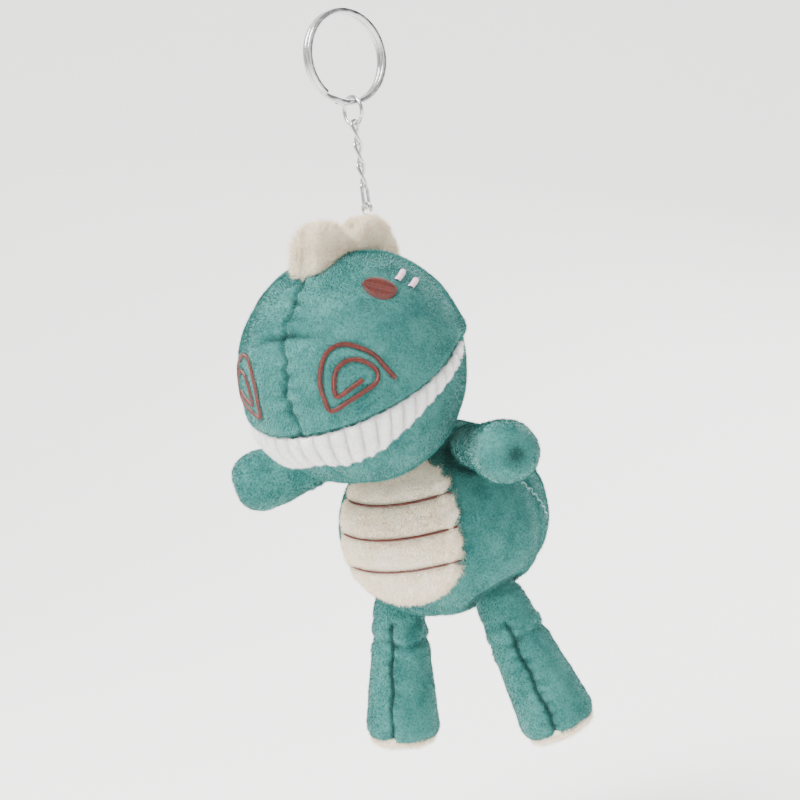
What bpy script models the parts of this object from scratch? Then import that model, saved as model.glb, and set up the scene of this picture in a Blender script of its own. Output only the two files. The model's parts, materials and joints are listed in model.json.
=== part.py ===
"""Plush dinosaur keychain: a split ring, a curb chain and a sewn, stuffed body with limbs that swing.

Metres, +Z up. The origin is the inside top of the split ring, where it hangs.
The dinosaur faces -Y and its left is +X.
"""
import math

import bmesh
import bpy
from mathutils import Matrix, Vector

MM = 0.001
GAP = 0.3 * MM                      # clearance between neighbouring pieces
SEAM_HALF = 0.3 * MM                # from a seam's plane to each panel's edge
HEAD_MESH = (24, 14)                # segments and rings of the head's surfaces
TORSO_MESH = (22, 12)

# Split ring
RING_INNER_RADIUS = 11.1 * MM
RING_BAND = 1.4 * MM                # radial thickness of the flat wire
RING_TURN_HEIGHT = 1.3 * MM         # axial height of one turn
RING_TURN_GAP = 0.12 * MM           # slit between the two turns
RING_CORNER = 0.35 * MM             # bevel on the flat wire's edges
RING_FACING = math.radians(-18.7)   # direction of the ring's axis about Z
RING_JOGGLE = math.radians(-32)     # where the wire steps from one turn to the other, from the bottom
RING_JOGGLE_WIDTH = math.radians(22)
RING_STEPS = 32

# Chain
JUMP_RADIUS = 3.65 * MM             # centreline
JUMP_WIRE = 0.5 * MM                # wire radius
JUMP_CLEARANCE = 0.45 * MM
JUMP_OPENING = math.radians(60)     # where the wire's ends meet, from the bottom
JUMP_OPENING_HALF = math.radians(5)
JUMP_STEPS = 24
LINK_WIRE = 0.45 * MM
LINK_WIDTH = 2.8 * MM               # centreline sizes
LINK_HEIGHT = 6.6 * MM
LINK_TWIST = math.radians(90)
LINK_FACING = RING_FACING + math.radians(135)
LINK_COUNT = 3
END_LINK_WIDTH = 2.4 * MM
END_LINK_HEIGHT = 6.5 * MM
EYE_RADIUS = 1.3 * MM
EYE_SHANK = 5.4 * MM
EYE_FOOT = 2.6 * MM                 # how far the shank's bent end reaches
EYE_BEND = 0.7 * MM                 # size of the bend
EYE_START = math.radians(14)        # where the loop leaves the shank
EYE_SWEEP = math.radians(295)
DISC_RADIUS = 2.6 * MM
DISC_THICKNESS = 0.6 * MM
DISC_ROOM = 0.8 * MM                # clear round the disc in the stuffing
SHANK_ROOM = 14 * MM                # height of the way through for the shank

# Head: half sizes of an ellipsoid that is longer at the snout and deeper at the jaw
HEAD_CENTRE = Vector((0, -14.6, -89.3)) * MM
HEAD_SIDE = 28.4 * MM
HEAD_FRONT = 32.6 * MM
HEAD_BACK = 30.4 * MM
HEAD_TOP = 29.7 * MM
HEAD_BOTTOM = 31.2 * MM
HEAD_WALL = 1.5 * MM
MOUTH_HEIGHT = -2.0 * MM            # mouth seam's plane: height = MOUTH_HEIGHT + MOUTH_SLOPE * y
MOUTH_SLOPE = 0.40
TEETH_HEIGHT = -6.2 * MM            # lower edge of the teeth strip, in the same form
TEETH_SLOPE = 0.70
TEETH_BACK = 6.0 * MM
TEETH_WALL = 1.2 * MM
JAW_BLEND = 7.0 * MM                # height over which the stuffing steps in behind the jaw

# Torso: pitched forward, a little wider at the hips
TORSO_CENTRE = Vector((0, 14.8, -133.8)) * MM
TORSO_SIDE = 26.6 * MM
TORSO_DEPTH = 26.6 * MM
TORSO_HEIGHT = 25.0 * MM
TORSO_PITCH = math.radians(14)
TORSO_FLARE = 0.05
TORSO_WALL = 1.5 * MM
SIDE_SEAM = 5.0 * MM                # how far behind the torso's middle its side seams run
BELLY_HALF_WIDTH = 18.8 * MM
BELLY_HALF_HEIGHT = 19.6 * MM
BELLY_RISE = 4.4 * MM
BELLY_DEPTH = 40 * MM               # reach of the cutter that marks it out

# Neck: the head is hollowed round the torso, and both are hollowed round a ball at the pivot
NECK_CLEARANCE = 3.0 * MM
NECK_DISTANCE = 27.4 * MM           # from the torso's centre towards the head's
NECK_RADIUS = 8.6 * MM
NECK_SOCKET = 9.5 * MM

# Crest outline, side view from the head's centre: (y, z)
CREST_OUTLINE = [(-15.5, 18), (-17.0, 25), (-16.0, 32.5), (-11.5, 37.0), (-6.0, 36.6), (-0.6, 33.6), (4.0, 33.4),
                 (8.0, 36.8), (12.4, 37.8), (16.6, 36.4), (19.8, 32.2), (21.8, 26), (20.5, 14), (2, 16)]
CREST_THICKNESS = 8.6 * MM
CREST_ROUND = 2.6 * MM
CREST_WALL = 1.2 * MM

# Limbs: tapered capsules from a ball at the pivot
LIMB_WALL = 1.2 * MM
LIMB_STEPS = 12                     # segments round a limb
ARM_PIVOT = Vector((18.3, 4.4, -113.6)) * MM
ARM_REACH = {"left": Vector((19.8, -16.0, -0.6)) * MM, "right": Vector((-22.0, -13.4, -4.0)) * MM}
ARM_ROOT_RADIUS = 4.8 * MM
ARM_HAND_RADIUS = 8.0 * MM
LEG_PIVOT = Vector((16.0, 11.8, -156.6)) * MM
LEG_DIRECTION = {"left": Vector((0.25, 0.185, -0.95)), "right": Vector((-0.13, 0.0, -0.99))}
LEG_LENGTH = 38.5 * MM
LEG_ROOT_RADIUS = 6.4 * MM
LEG_FOOT_RADIUS = 9.8 * MM
LEG_FOOT_ROUND = 3.6 * MM
SOLE_HEIGHT = 2.4 * MM
TAIL_PIVOT = Vector((0, 40.4, -145.6)) * MM
TAIL_DIRECTION = Vector((0, 0.90, -0.44))
TAIL_LENGTH = 11.5 * MM
TAIL_ROOT_RADIUS = 6.4 * MM
TAIL_TIP_RADIUS = 3.6 * MM
SOCKET_GAP = 2.0 * MM               # round each limb's ball, so that it can swing

# Embroidery
THREAD_LIFT = GAP
EYE_PATCH = (4.3 * MM, 4.0 * MM)
EYE_AZIMUTH = math.radians(56.7)
EYE_ELEVATION = math.radians(41.9)
EYE_TILT = math.radians(-25)
EYE_PATCH_THICKNESS = 0.7 * MM
NOSTRIL_THREAD = 0.65 * MM
DASH_THREAD = 0.8 * MM
STITCH_THREAD = 0.45 * MM
LADDER_THREAD = 0.25 * MM
NOSTRIL_AZIMUTH = math.radians(31)
NOSTRIL_PATH = [(11.5, -2.4), (9.0, 1.1), (6.8, 4.3), (3.3, 6.7), (-0.3, 8.0), (-3.4, 7.6), (-5.6, 5.8), (-7.1, 2.4),
                (-7.7, -1.2), (-7.3, -4.6), (-6.2, -8.0), (-1.1, -6.1), (2.8, -4.4), (6.3, -2.5), (6.7, 0.4), (3.5, 3.3),
                (0.1, 3.9), (-3.0, 2.2), (-4.3, -1.2), (-4.2, -4.6), (-0.6, -3.2), (2.8, -1.4)]  # outward and up, in mm
DASHES = [(1, (71.5, 44.5), (86.0, 50.6)), (2, (78.5, 39.3), (90.0, 43.6))]   # number, ends in degrees
BELLY_STITCHES = [(1, 30, 42), (2, 12, 43), (3, -6, 38)]    # number, elevation and reach in degrees
LADDER_AZIMUTH = 90                 # degrees
LADDER_HALF = 1.6
LADDER_TOP = 22
LADDER_STEP = 2.4
LADDER_DRIFT = 1.3                  # degrees backwards at each step


# ---------------------------------------------------------------- scene and bodies

for old in list(bpy.data.objects):
    bpy.data.objects.remove(old, do_unlink=True)

parts = bpy.data.collections.new("plush_keychain")
cutters = bpy.data.collections.new("cutters")
bpy.context.scene.collection.children.link(parts)
bpy.context.scene.collection.children.link(cutters)


def material(name, colour, roughness, metallic=0.0):
    made = bpy.data.materials.new(name)
    made.use_nodes = True
    shader = made.node_tree.nodes["Principled BSDF"]
    shader.inputs["Base Color"].default_value = (*colour, 1.0)
    shader.inputs["Roughness"].default_value = roughness
    shader.inputs["Metallic"].default_value = metallic
    return made


STEEL = ("steel", (0.72, 0.72, 0.72), 0.25, 1.0)
TEAL = ("teal_plush", (0.075, 0.265, 0.235), 0.9)
CREAM = ("cream_fleece", (0.87, 0.78, 0.65), 0.95)
RIBBED = ("ribbed_white", (0.86, 0.85, 0.83), 0.95)
BROWN = ("brown_thread", (0.24, 0.05, 0.035), 0.6)
PINK = ("pink_thread", (0.86, 0.46, 0.60), 0.6)
TEAL_THREAD = ("teal_thread", (0.35, 0.55, 0.50), 0.7)
FIBRE = ("stuffing_fibre", (0.9, 0.9, 0.88), 1.0)


def pivot_empty(name, location):
    empty = bpy.data.objects.new(name, None)
    empty.empty_display_size = 3 * MM
    empty.location = location
    parts.objects.link(empty)
    return empty


def add_part(obj, finish, pivot):
    """Put an object in the parts collection with a material of its own, held by its body's pivot."""
    obj.data.materials.clear()
    obj.data.materials.append(material(obj.name + "_" + finish[0], *finish[1:]))
    parts.objects.link(obj)
    if pivot is not None:
        obj.parent = pivot
        obj.matrix_parent_inverse = Matrix.Translation(pivot.location).inverted()
    return obj


def add_cutter(obj):
    cutters.objects.link(obj)
    obj.hide_render = True
    obj.display_type = "WIRE"
    return obj


def mesh_object(name, bm):
    mesh = bpy.data.meshes.new(name)
    bm.to_mesh(mesh)
    mesh.shade_smooth()
    return bpy.data.objects.new(name, mesh)


# ---------------------------------------------------------------- shapes

def head_radius(direction):
    """Distance from the head's centre to its surface along a unit direction."""
    depth = HEAD_FRONT if direction.y < 0 else HEAD_BACK
    height = HEAD_TOP if direction.z > 0 else HEAD_BOTTOM
    scaled = Vector((direction.x / HEAD_SIDE, direction.y / depth, direction.z / height))
    return 1.0 / scaled.length


def spherical(azimuth, elevation):
    """Unit direction, azimuth from straight ahead (-Y) towards the dinosaur's left (+X)."""
    level = math.cos(elevation)
    return Vector((math.sin(azimuth) * level, -math.cos(azimuth) * level, math.sin(elevation)))


def head_point(azimuth, elevation, lift=0.0):
    direction = spherical(azimuth, elevation)
    return HEAD_CENTRE + direction * (head_radius(direction) + lift)


def torso_local(point):
    """Torso frame to world."""
    return TORSO_CENTRE + Matrix.Rotation(TORSO_PITCH, 4, "X") @ point


def torso_point(azimuth, elevation, lift=0.0):
    direction = spherical(azimuth, elevation)
    size = (TORSO_SIDE, TORSO_DEPTH, TORSO_HEIGHT)
    scaled = Vector([part / whole for part, whole in zip(direction, size)])
    point = direction * (1.0 / scaled.length + lift)
    flare = 1.0 - TORSO_FLARE * point.z / TORSO_HEIGHT
    return torso_local(Vector((point.x * flare, point.y * flare, point.z)))


def ball_surface(point_at, segments, rings, lift=0.0):
    """Closed surface that follows point_at(azimuth, elevation, lift), its poles at the two sides."""
    bm = bmesh.new()
    bmesh.ops.create_uvsphere(bm, u_segments=segments, v_segments=rings, radius=1.0,
                              matrix=Matrix.Rotation(math.pi / 2, 4, "Y"))
    for vert in bm.verts:
        azimuth = math.atan2(vert.co.x, -vert.co.y)
        elevation = math.asin(max(-1.0, min(1.0, vert.co.z)))
        here = lift(azimuth, elevation) if callable(lift) else lift
        vert.co = point_at(azimuth, elevation, here)
    return bm


def turned_surface(profile, steps, frame):
    """Closed surface turned from (radius, height) points listed from the top down, placed by a matrix."""
    mesh = bpy.data.meshes.new("profile")
    edges = [(index, index + 1) for index in range(len(profile) - 1)]
    mesh.from_pydata([(radius, 0.0, height) for radius, height in profile], edges, [])
    obj = bpy.data.objects.new("profile", mesh)
    bpy.context.scene.collection.objects.link(obj)
    screw = obj.modifiers.new("turn", "SCREW")
    screw.steps = steps
    screw.render_steps = steps
    screw.use_merge_vertices = True
    screw.merge_threshold = 0.00001
    turned = bpy.data.meshes.new_from_object(obj.evaluated_get(bpy.context.evaluated_depsgraph_get()))
    bpy.data.objects.remove(obj, do_unlink=True)
    bm = bmesh.new()
    bm.from_mesh(turned)
    bmesh.ops.remove_doubles(bm, verts=bm.verts[:], dist=0.00001)
    bmesh.ops.transform(bm, matrix=frame, verts=bm.verts[:])
    return bm


def arc(centre_radius, centre_height, radius, start, end, steps):
    """Points of a round stretch of a profile, angles in radians above level."""
    angles = [start + (end - start) * step / steps for step in range(steps + 1)]
    return [(max(0.0, centre_radius + radius * math.cos(angle)), centre_height + radius * math.sin(angle))
            for angle in angles]


def capsule_profile(root_radius, tip_radius, length, inset=0.0):
    """Round at both ends, the tip at the top of the list."""
    lean = -math.asin((tip_radius - root_radius) / length)
    tip = arc(0.0, length, tip_radius - inset, math.pi / 2, lean, 4)
    root = arc(0.0, 0.0, root_radius - inset, lean, -math.pi / 2, 4)
    return tip + root


def leg_profile(inset=0.0):
    """Round hip, flaring tube and a flat foot with a rounded edge."""
    lean = -math.asin((LEG_FOOT_RADIUS - LEG_ROOT_RADIUS) / LEG_LENGTH)
    edge = LEG_FOOT_ROUND - inset
    centre = LEG_FOOT_RADIUS - LEG_FOOT_ROUND
    foot = [(0.0, LEG_LENGTH - inset)] + arc(centre, LEG_LENGTH - LEG_FOOT_ROUND, edge, math.pi / 2, lean, 3)
    root = arc(0.0, 0.0, LEG_ROOT_RADIUS - inset, lean, -math.pi / 2, 4)
    return foot + root


def limb_frame(pivot, direction, seam_normal):
    """Matrix whose Z runs down the limb and whose X is square to the seam."""
    along = direction.normalized()
    across = (seam_normal - along * seam_normal.dot(along)).normalized()
    side = along.cross(across)
    turn = Matrix((across, side, along)).transposed().to_4x4()
    return Matrix.Translation(pivot) @ turn


def panel(name, surface, cuts, wall, finish, pivot, holes=()):
    """Sewn panel: a closed surface thickened inwards, less what lies beyond each cut (point, normal)."""
    bm = surface.copy()
    bmesh.ops.solidify(bm, geom=bm.faces[:], thickness=wall)
    for point, normal in cuts:
        geometry = bm.verts[:] + bm.edges[:] + bm.faces[:]
        cut = bmesh.ops.bisect_plane(bm, geom=geometry, dist=0.000001, plane_co=point, plane_no=normal,
                                     clear_outer=True)
        rim = [item for item in cut["geom_cut"] if isinstance(item, bmesh.types.BMEdge)]
        bmesh.ops.triangle_fill(bm, edges=rim, normal=normal, use_beauty=True)
    bmesh.ops.recalc_face_normals(bm, faces=bm.faces[:])
    obj = add_part(mesh_object(name, bm), finish, pivot)
    bm.free()
    cut_holes(obj, holes)
    return obj


def core(name, surface, pivot, holes=()):
    """Stuffing: the closed surface itself."""
    obj = add_part(mesh_object(name, surface), FIBRE, pivot)
    cut_holes(obj, holes)
    return obj


def cut_holes(obj, holes):
    for hole, operation in holes:
        cut = obj.modifiers.new(hole.name, "BOOLEAN")
        cut.operation = operation
        cut.object = hole


def ball_cutter(name, centre, radius):
    bm = bmesh.new()
    bmesh.ops.create_uvsphere(bm, u_segments=12, v_segments=8, radius=radius, matrix=Matrix.Translation(centre))
    return add_cutter(mesh_object(name, bm))


def drum_cutter(name, radius, depth, matrix):
    bm = bmesh.new()
    bmesh.ops.create_cone(bm, cap_ends=True, segments=14, radius1=radius, radius2=radius, depth=depth,
                          matrix=matrix)
    return add_cutter(mesh_object(name, bm))


def wire(name, points, radius, finish, pivot, closed=False, resolution=2):
    curve = bpy.data.curves.new(name, "CURVE")
    curve.dimensions = "3D"
    curve.bevel_depth = radius
    curve.bevel_resolution = resolution
    curve.use_fill_caps = True
    spline = curve.splines.new("POLY")
    spline.points.add(len(points) - 1)
    for spot, place in zip(spline.points, points):
        spot.co = (*place, 1.0)
    spline.use_cyclic_u = closed
    return add_part(bpy.data.objects.new(name, curve), finish, pivot)


# ---------------------------------------------------------------- split ring and chain

RING_AXIS = Vector((math.cos(RING_FACING), math.sin(RING_FACING), 0))
RING_TANGENT = Vector((-math.sin(RING_FACING), math.cos(RING_FACING), 0))
DOWN = Vector((0, 0, -1))


def split_ring():
    """Flat wire wound twice, with a joggle where it steps from one turn to the other."""
    profile = bpy.data.curves.new("band_profile", "CURVE")
    profile.dimensions = "2D"
    corner = RING_CORNER
    high = RING_TURN_HEIGHT / 2
    wide = RING_BAND / 2
    outline = [(wide, -high + corner), (wide, high - corner), (wide - corner, high), (corner - wide, high),
               (-wide, high - corner), (-wide, corner - high), (corner - wide, -high), (wide - corner, -high)]
    edge = profile.splines.new("POLY")
    edge.points.add(len(outline) - 1)
    for spot, place in zip(edge.points, reversed(outline)):
        spot.co = (*place, 0.0, 1.0)
    edge.use_cyclic_u = True
    guide = add_cutter(bpy.data.objects.new("band_profile", profile))

    radius = RING_INNER_RADIUS + RING_BAND / 2
    rise = (RING_TURN_HEIGHT + RING_TURN_GAP) / 2
    start = RING_JOGGLE + RING_JOGGLE_WIDTH / 2
    sweep = 2 * (2 * math.pi) - RING_JOGGLE_WIDTH
    curve = bpy.data.curves.new("split_ring", "CURVE")
    curve.dimensions = "3D"
    curve.twist_mode = "Z_UP"
    curve.bevel_mode = "OBJECT"
    curve.bevel_object = guide
    curve.use_fill_caps = True
    spline = curve.splines.new("POLY")
    spline.points.add(2 * RING_STEPS)
    for step, spot in enumerate(spline.points):
        angle = start + sweep * step / (2 * RING_STEPS)
        past = (angle - start - 2 * math.pi + RING_JOGGLE_WIDTH) / RING_JOGGLE_WIDTH
        blend = max(0.0, min(1.0, past))
        height = -rise + 2 * rise * blend * blend * (3 - 2 * blend)
        spot.co = (radius * math.sin(angle), -radius * math.cos(angle), height, 1.0)
    obj = add_part(bpy.data.objects.new("split_ring", curve), STEEL, None)
    turn = Matrix((RING_TANGENT, -DOWN, RING_AXIS)).transposed().to_4x4()
    obj.matrix_world = Matrix.Translation((0, 0, -RING_INNER_RADIUS)) @ turn


def link_points(top, width, height, twist, facing, steps=8):
    """Oval loop hanging below its top point, its plane turning by twist from top to bottom."""
    half = width / 2
    straight = height - width
    loop = []
    for step in range(steps + 1):
        angle = math.pi * step / steps
        loop.append((half * math.cos(angle), -half + half * math.sin(angle)))
    for step in range(steps + 1):
        angle = math.pi + math.pi * step / steps
        loop.append((half * math.cos(angle), -half - straight + half * math.sin(angle)))
    points = []
    for across, drop in loop:
        turn = facing - twist / 2 + twist * (-drop / height)
        points.append((across * math.cos(turn), across * math.sin(turn), top + drop))
    return points


split_ring()

jump_top = -2 * RING_INNER_RADIUS + JUMP_CLEARANCE + JUMP_WIRE
jump_pivot = pivot_empty("jump_ring_pivot", (0, 0, jump_top))
jump_centre = Vector((0, 0, jump_top - JUMP_RADIUS))
jump_points = []
for step in range(JUMP_STEPS + 1):
    angle = JUMP_OPENING + JUMP_OPENING_HALF + 2 * (math.pi - JUMP_OPENING_HALF) * step / JUMP_STEPS
    jump_points.append(jump_centre + JUMP_RADIUS * (math.sin(angle) * RING_AXIS + math.cos(angle) * DOWN))
wire("jump_ring", jump_points, JUMP_WIRE, STEEL, jump_pivot)

jump_bottom = jump_top - 2 * JUMP_RADIUS
link_top = jump_bottom + JUMP_WIRE + LINK_WIRE + GAP
LINK_PITCH = LINK_HEIGHT - 2 * LINK_WIRE - GAP
link_pivots = []
for number in range(LINK_COUNT):
    height = link_top - number * LINK_PITCH
    swing_height = height if number != 1 else height - 2 * LINK_WIRE - GAP
    link_pivots.append(pivot_empty("link_%d_pivot" % (number + 1), (0, 0, swing_height)))
    loop = link_points(height, LINK_WIDTH, LINK_HEIGHT, LINK_TWIST, LINK_FACING)
    wire("link_%d" % (number + 1), loop, LINK_WIRE, STEEL, link_pivots[-1], closed=True)

end_top = link_top - LINK_COUNT * LINK_PITCH
end_pivot = pivot_empty("end_link_pivot", (0, 0, end_top - 2 * LINK_WIRE - GAP))
end_loop = link_points(end_top, END_LINK_WIDTH, END_LINK_HEIGHT, 0.0, math.radians(90))
wire("end_link", end_loop, LINK_WIRE, STEEL, end_pivot, closed=True)

# Eye pin: a wire bent to a loop, a shank and a foot that holds the disc
eye_top = end_top - END_LINK_HEIGHT + 2 * LINK_WIRE + GAP
head_pivot = pivot_empty("head_pivot", (0, 0, eye_top))
eye_centre = eye_top - EYE_RADIUS
shank_end = eye_centre - EYE_RADIUS - EYE_SHANK
eye_points = [(EYE_FOOT, 0, shank_end), (EYE_BEND, 0, shank_end),
              (0.3 * EYE_BEND, 0, shank_end + 0.3 * EYE_BEND), (0, 0, shank_end + EYE_BEND),
              (0, 0, eye_centre - 2 * EYE_RADIUS)]
for step in range(17):
    angle = EYE_START + EYE_SWEEP * step / 16
    eye_points.append((-EYE_RADIUS * math.sin(angle), 0, eye_centre - EYE_RADIUS * math.cos(angle)))
wire("anchor_eye", eye_points, LINK_WIRE, STEEL, head_pivot)

disc_low = shank_end + LINK_WIRE + GAP
hole = LINK_WIRE + GAP
disc_profile = [(hole, DISC_THICKNESS), (DISC_RADIUS, DISC_THICKNESS), (DISC_RADIUS, 0.0), (hole, 0.0),
                (hole, DISC_THICKNESS)]
disc = turned_surface(disc_profile, 20, Matrix.Translation((0, 0, disc_low)))
bmesh.ops.recalc_face_normals(disc, faces=disc.faces[:])
add_part(mesh_object("anchor_disc", disc), STEEL, head_pivot)

# ---------------------------------------------------------------- head

LEFT = Vector((1, 0, 0))
RIGHT = Vector((-1, 0, 0))
head_axis = (TORSO_CENTRE - HEAD_CENTRE).normalized()
neck_pivot_at = TORSO_CENTRE - head_axis * NECK_DISTANCE
neck_pivot = pivot_empty("neck_pivot", neck_pivot_at)
torso_pivot = pivot_empty("torso_pivot", neck_pivot_at)

neck_socket = ball_cutter("neck_socket", neck_pivot_at, NECK_SOCKET)
torso_room = add_cutter(mesh_object("torso_room", ball_surface(torso_point, *TORSO_MESH, NECK_CLEARANCE)))
neck_holes = [(neck_socket, "DIFFERENCE"), (torso_room, "DIFFERENCE")]


def sloped_plane(height, slope, shift):
    """A plane across the head, moved up by shift: (point, unit normal pointing up)."""
    point = HEAD_CENTRE + Vector((0, 0, height + shift))
    return point, Vector((0, -slope, 1)).normalized()


mouth_above, mouth_up = sloped_plane(MOUTH_HEIGHT, MOUTH_SLOPE, SEAM_HALF)
mouth_below = sloped_plane(MOUTH_HEIGHT, MOUTH_SLOPE, -SEAM_HALF)[0]
teeth_low, teeth_up = sloped_plane(TEETH_HEIGHT, TEETH_SLOPE, 0.0)


def stuffing_lift(azimuth, elevation):
    """Just inside the side panels, and further in where the jaw panel is set back."""
    point = head_point(azimuth, elevation) - HEAD_CENTRE
    above = (point.z - MOUTH_HEIGHT - MOUTH_SLOPE * point.y) / JAW_BLEND
    rise = max(0.0, min(1.0, above))
    return -(2 * HEAD_WALL + 1.5 * GAP) + HEAD_WALL * rise


head_surface = ball_surface(head_point, *HEAD_MESH)
jaw_surface = ball_surface(head_point, *HEAD_MESH, -HEAD_WALL)
for side, outward in (("left", LEFT), ("right", RIGHT)):
    seam = (HEAD_CENTRE + outward * SEAM_HALF, -outward)
    panel("head_side_" + side, head_surface, [seam, (mouth_above, -mouth_up)], HEAD_WALL, TEAL, head_pivot)
panel("jaw_panel", jaw_surface, [(mouth_below, mouth_up)], HEAD_WALL, TEAL, head_pivot, neck_holes)
teeth_end = HEAD_CENTRE + Vector((0, TEETH_BACK, 0))
teeth_cuts = [(mouth_below, mouth_up), (teeth_low, -teeth_up), (teeth_end, Vector((0, 1, 0)))]
panel("teeth_strip", head_surface, teeth_cuts, TEETH_WALL, RIBBED, head_pivot)
core("head_stuffing", ball_surface(head_point, *HEAD_MESH, stuffing_lift), head_pivot, neck_holes)

# Crest: two fleece faces over stuffing, standing on the head, with a way through for the eye pin
head_room = add_cutter(mesh_object("head_room", ball_surface(head_point, *HEAD_MESH, GAP)))
shank_at = Matrix.Translation((0, 0, eye_centre - EYE_RADIUS - EYE_SHANK / 2))
loop_at = Matrix.Translation((0, 0, eye_centre)) @ Matrix.Rotation(math.pi / 2, 4, "X")
disc_depth = DISC_THICKNESS + 2 * LINK_WIRE + 3 * GAP
disc_at = Matrix.Translation((0, 0, shank_end - LINK_WIRE - GAP + disc_depth / 2))
shank_cutter = drum_cutter("shank_room", hole, SHANK_ROOM, shank_at)
loop_cutter = drum_cutter("loop_room", EYE_RADIUS + hole, 2 * hole, loop_at)
disc_cutter = drum_cutter("disc_room", DISC_RADIUS + DISC_ROOM, disc_depth, disc_at)


def crest_surface(inset):
    """Rounded slab with the crest's outline."""
    curve = bpy.data.curves.new("crest_outline", "CURVE")
    curve.dimensions = "2D"
    curve.fill_mode = "BOTH"
    curve.resolution_u = 2
    curve.extrude = CREST_THICKNESS / 2 - CREST_ROUND
    curve.bevel_depth = CREST_ROUND - inset
    curve.bevel_resolution = 1
    curve.offset = -CREST_ROUND
    spline = curve.splines.new("BEZIER")
    spline.bezier_points.add(len(CREST_OUTLINE) - 1)
    for spot, (back, up) in zip(spline.bezier_points, CREST_OUTLINE):
        spot.co = (back * MM, up * MM, 0)
        spot.handle_left_type = "AUTO"
        spot.handle_right_type = "AUTO"
    spline.use_cyclic_u = True
    obj = bpy.data.objects.new("crest_outline", curve)
    bpy.context.scene.collection.objects.link(obj)
    mesh = bpy.data.meshes.new_from_object(obj.evaluated_get(bpy.context.evaluated_depsgraph_get()))
    bpy.data.objects.remove(obj, do_unlink=True)
    bm = bmesh.new()
    bm.from_mesh(mesh)
    bmesh.ops.remove_doubles(bm, verts=bm.verts[:], dist=0.00001)
    stand = Matrix(((0, 0, 1, 0), (1, 0, 0, 0), (0, 1, 0, 0), (0, 0, 0, 1)))
    bmesh.ops.transform(bm, matrix=Matrix.Translation(HEAD_CENTRE) @ stand, verts=bm.verts[:])
    bmesh.ops.recalc_face_normals(bm, faces=bm.faces[:])
    return bm


crest = crest_surface(0.0)
pin_holes = [(head_room, "DIFFERENCE"), (shank_cutter, "DIFFERENCE"), (loop_cutter, "DIFFERENCE")]
for side, outward in (("left", LEFT), ("right", RIGHT)):
    seam = (HEAD_CENTRE + outward * SEAM_HALF, -outward)
    panel("crest_" + side, crest, [seam], CREST_WALL, CREAM, head_pivot, pin_holes)
core("crest_stuffing", crest_surface(CREST_WALL + GAP), head_pivot, pin_holes + [(disc_cutter, "DIFFERENCE")])

# Embroidery on the head


def patch(name, azimuth, elevation, tilt, finish):
    """Oval of satin stitch lying on the head."""
    centre = spherical(azimuth, elevation)
    east = Vector((math.cos(azimuth), math.sin(azimuth), 0))
    north = centre.cross(east)
    reach = head_radius(centre)
    bm = bmesh.new()
    bmesh.ops.create_circle(bm, cap_ends=True, cap_tris=True, segments=20, radius=1.0)
    bmesh.ops.subdivide_edges(bm, edges=[edge for edge in bm.edges if not edge.is_boundary], cuts=1)
    for vert in bm.verts:
        across = vert.co.x * EYE_PATCH[0]
        along = vert.co.y * EYE_PATCH[1]
        right = across * math.cos(tilt) - along * math.sin(tilt)
        up = across * math.sin(tilt) + along * math.cos(tilt)
        direction = (centre * reach + east * right - north * up).normalized()
        vert.co = HEAD_CENTRE + direction * (head_radius(direction) + THREAD_LIFT)
    bmesh.ops.recalc_face_normals(bm, faces=bm.faces[:])
    middle = sum((vert.co for vert in bm.verts), Vector()) / len(bm.verts)
    if sum((face.normal for face in bm.faces), Vector()).dot(middle - HEAD_CENTRE) < 0:
        bmesh.ops.reverse_faces(bm, faces=bm.faces[:])
    obj = add_part(mesh_object(name, bm), finish, head_pivot)
    thicken = obj.modifiers.new("thread", "SOLIDIFY")
    thicken.thickness = EYE_PATCH_THICKNESS
    thicken.offset = 1.0


def nostril_points(side):
    """Spiral of one and a half turns on the side of the snout."""
    points = []
    for out, rise in NOSTRIL_PATH:
        azimuth = side * (NOSTRIL_AZIMUTH + out * MM / HEAD_FRONT)
        points.append(head_point(azimuth, rise * MM / HEAD_FRONT, THREAD_LIFT + NOSTRIL_THREAD))
    return points


for side, sign in (("left", 1), ("right", -1)):
    patch("eye_" + side, sign * EYE_AZIMUTH, EYE_ELEVATION, sign * EYE_TILT, BROWN)
    wire("nostril_" + side, nostril_points(sign), NOSTRIL_THREAD, BROWN, head_pivot, resolution=1)
    for number, start, end in DASHES:
        dash = []
        for step in range(5):
            azimuth, elevation = (math.radians(a + (b - a) * step / 4) for a, b in zip(start, end))
            dash.append(head_point(sign * azimuth, elevation, THREAD_LIFT + DASH_THREAD))
        wire("blush_%s_%d" % (side, number), dash, DASH_THREAD, PINK, head_pivot, resolution=1)

# Neck
neck_ball = bmesh.new()
bmesh.ops.create_uvsphere(neck_ball, u_segments=12, v_segments=8, radius=NECK_RADIUS,
                          matrix=Matrix.Translation(neck_pivot_at))
core("neck_stuffing", neck_ball, neck_pivot)

# ---------------------------------------------------------------- torso

torso_holes = [(neck_socket, "DIFFERENCE")]
for side, sign in (("left", 1), ("right", -1)):
    mirror = Vector((sign, 1, 1))
    shoulder_socket = ball_cutter("shoulder_socket_" + side, ARM_PIVOT * mirror, ARM_ROOT_RADIUS + SOCKET_GAP)
    hip_socket = ball_cutter("hip_socket_" + side, LEG_PIVOT * mirror, LEG_ROOT_RADIUS + SOCKET_GAP)
    torso_holes += [(shoulder_socket, "DIFFERENCE"), (hip_socket, "DIFFERENCE")]
tail_holes = [(ball_cutter("tail_socket", TAIL_PIVOT, TAIL_ROOT_RADIUS + SOCKET_GAP), "DIFFERENCE")]


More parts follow.
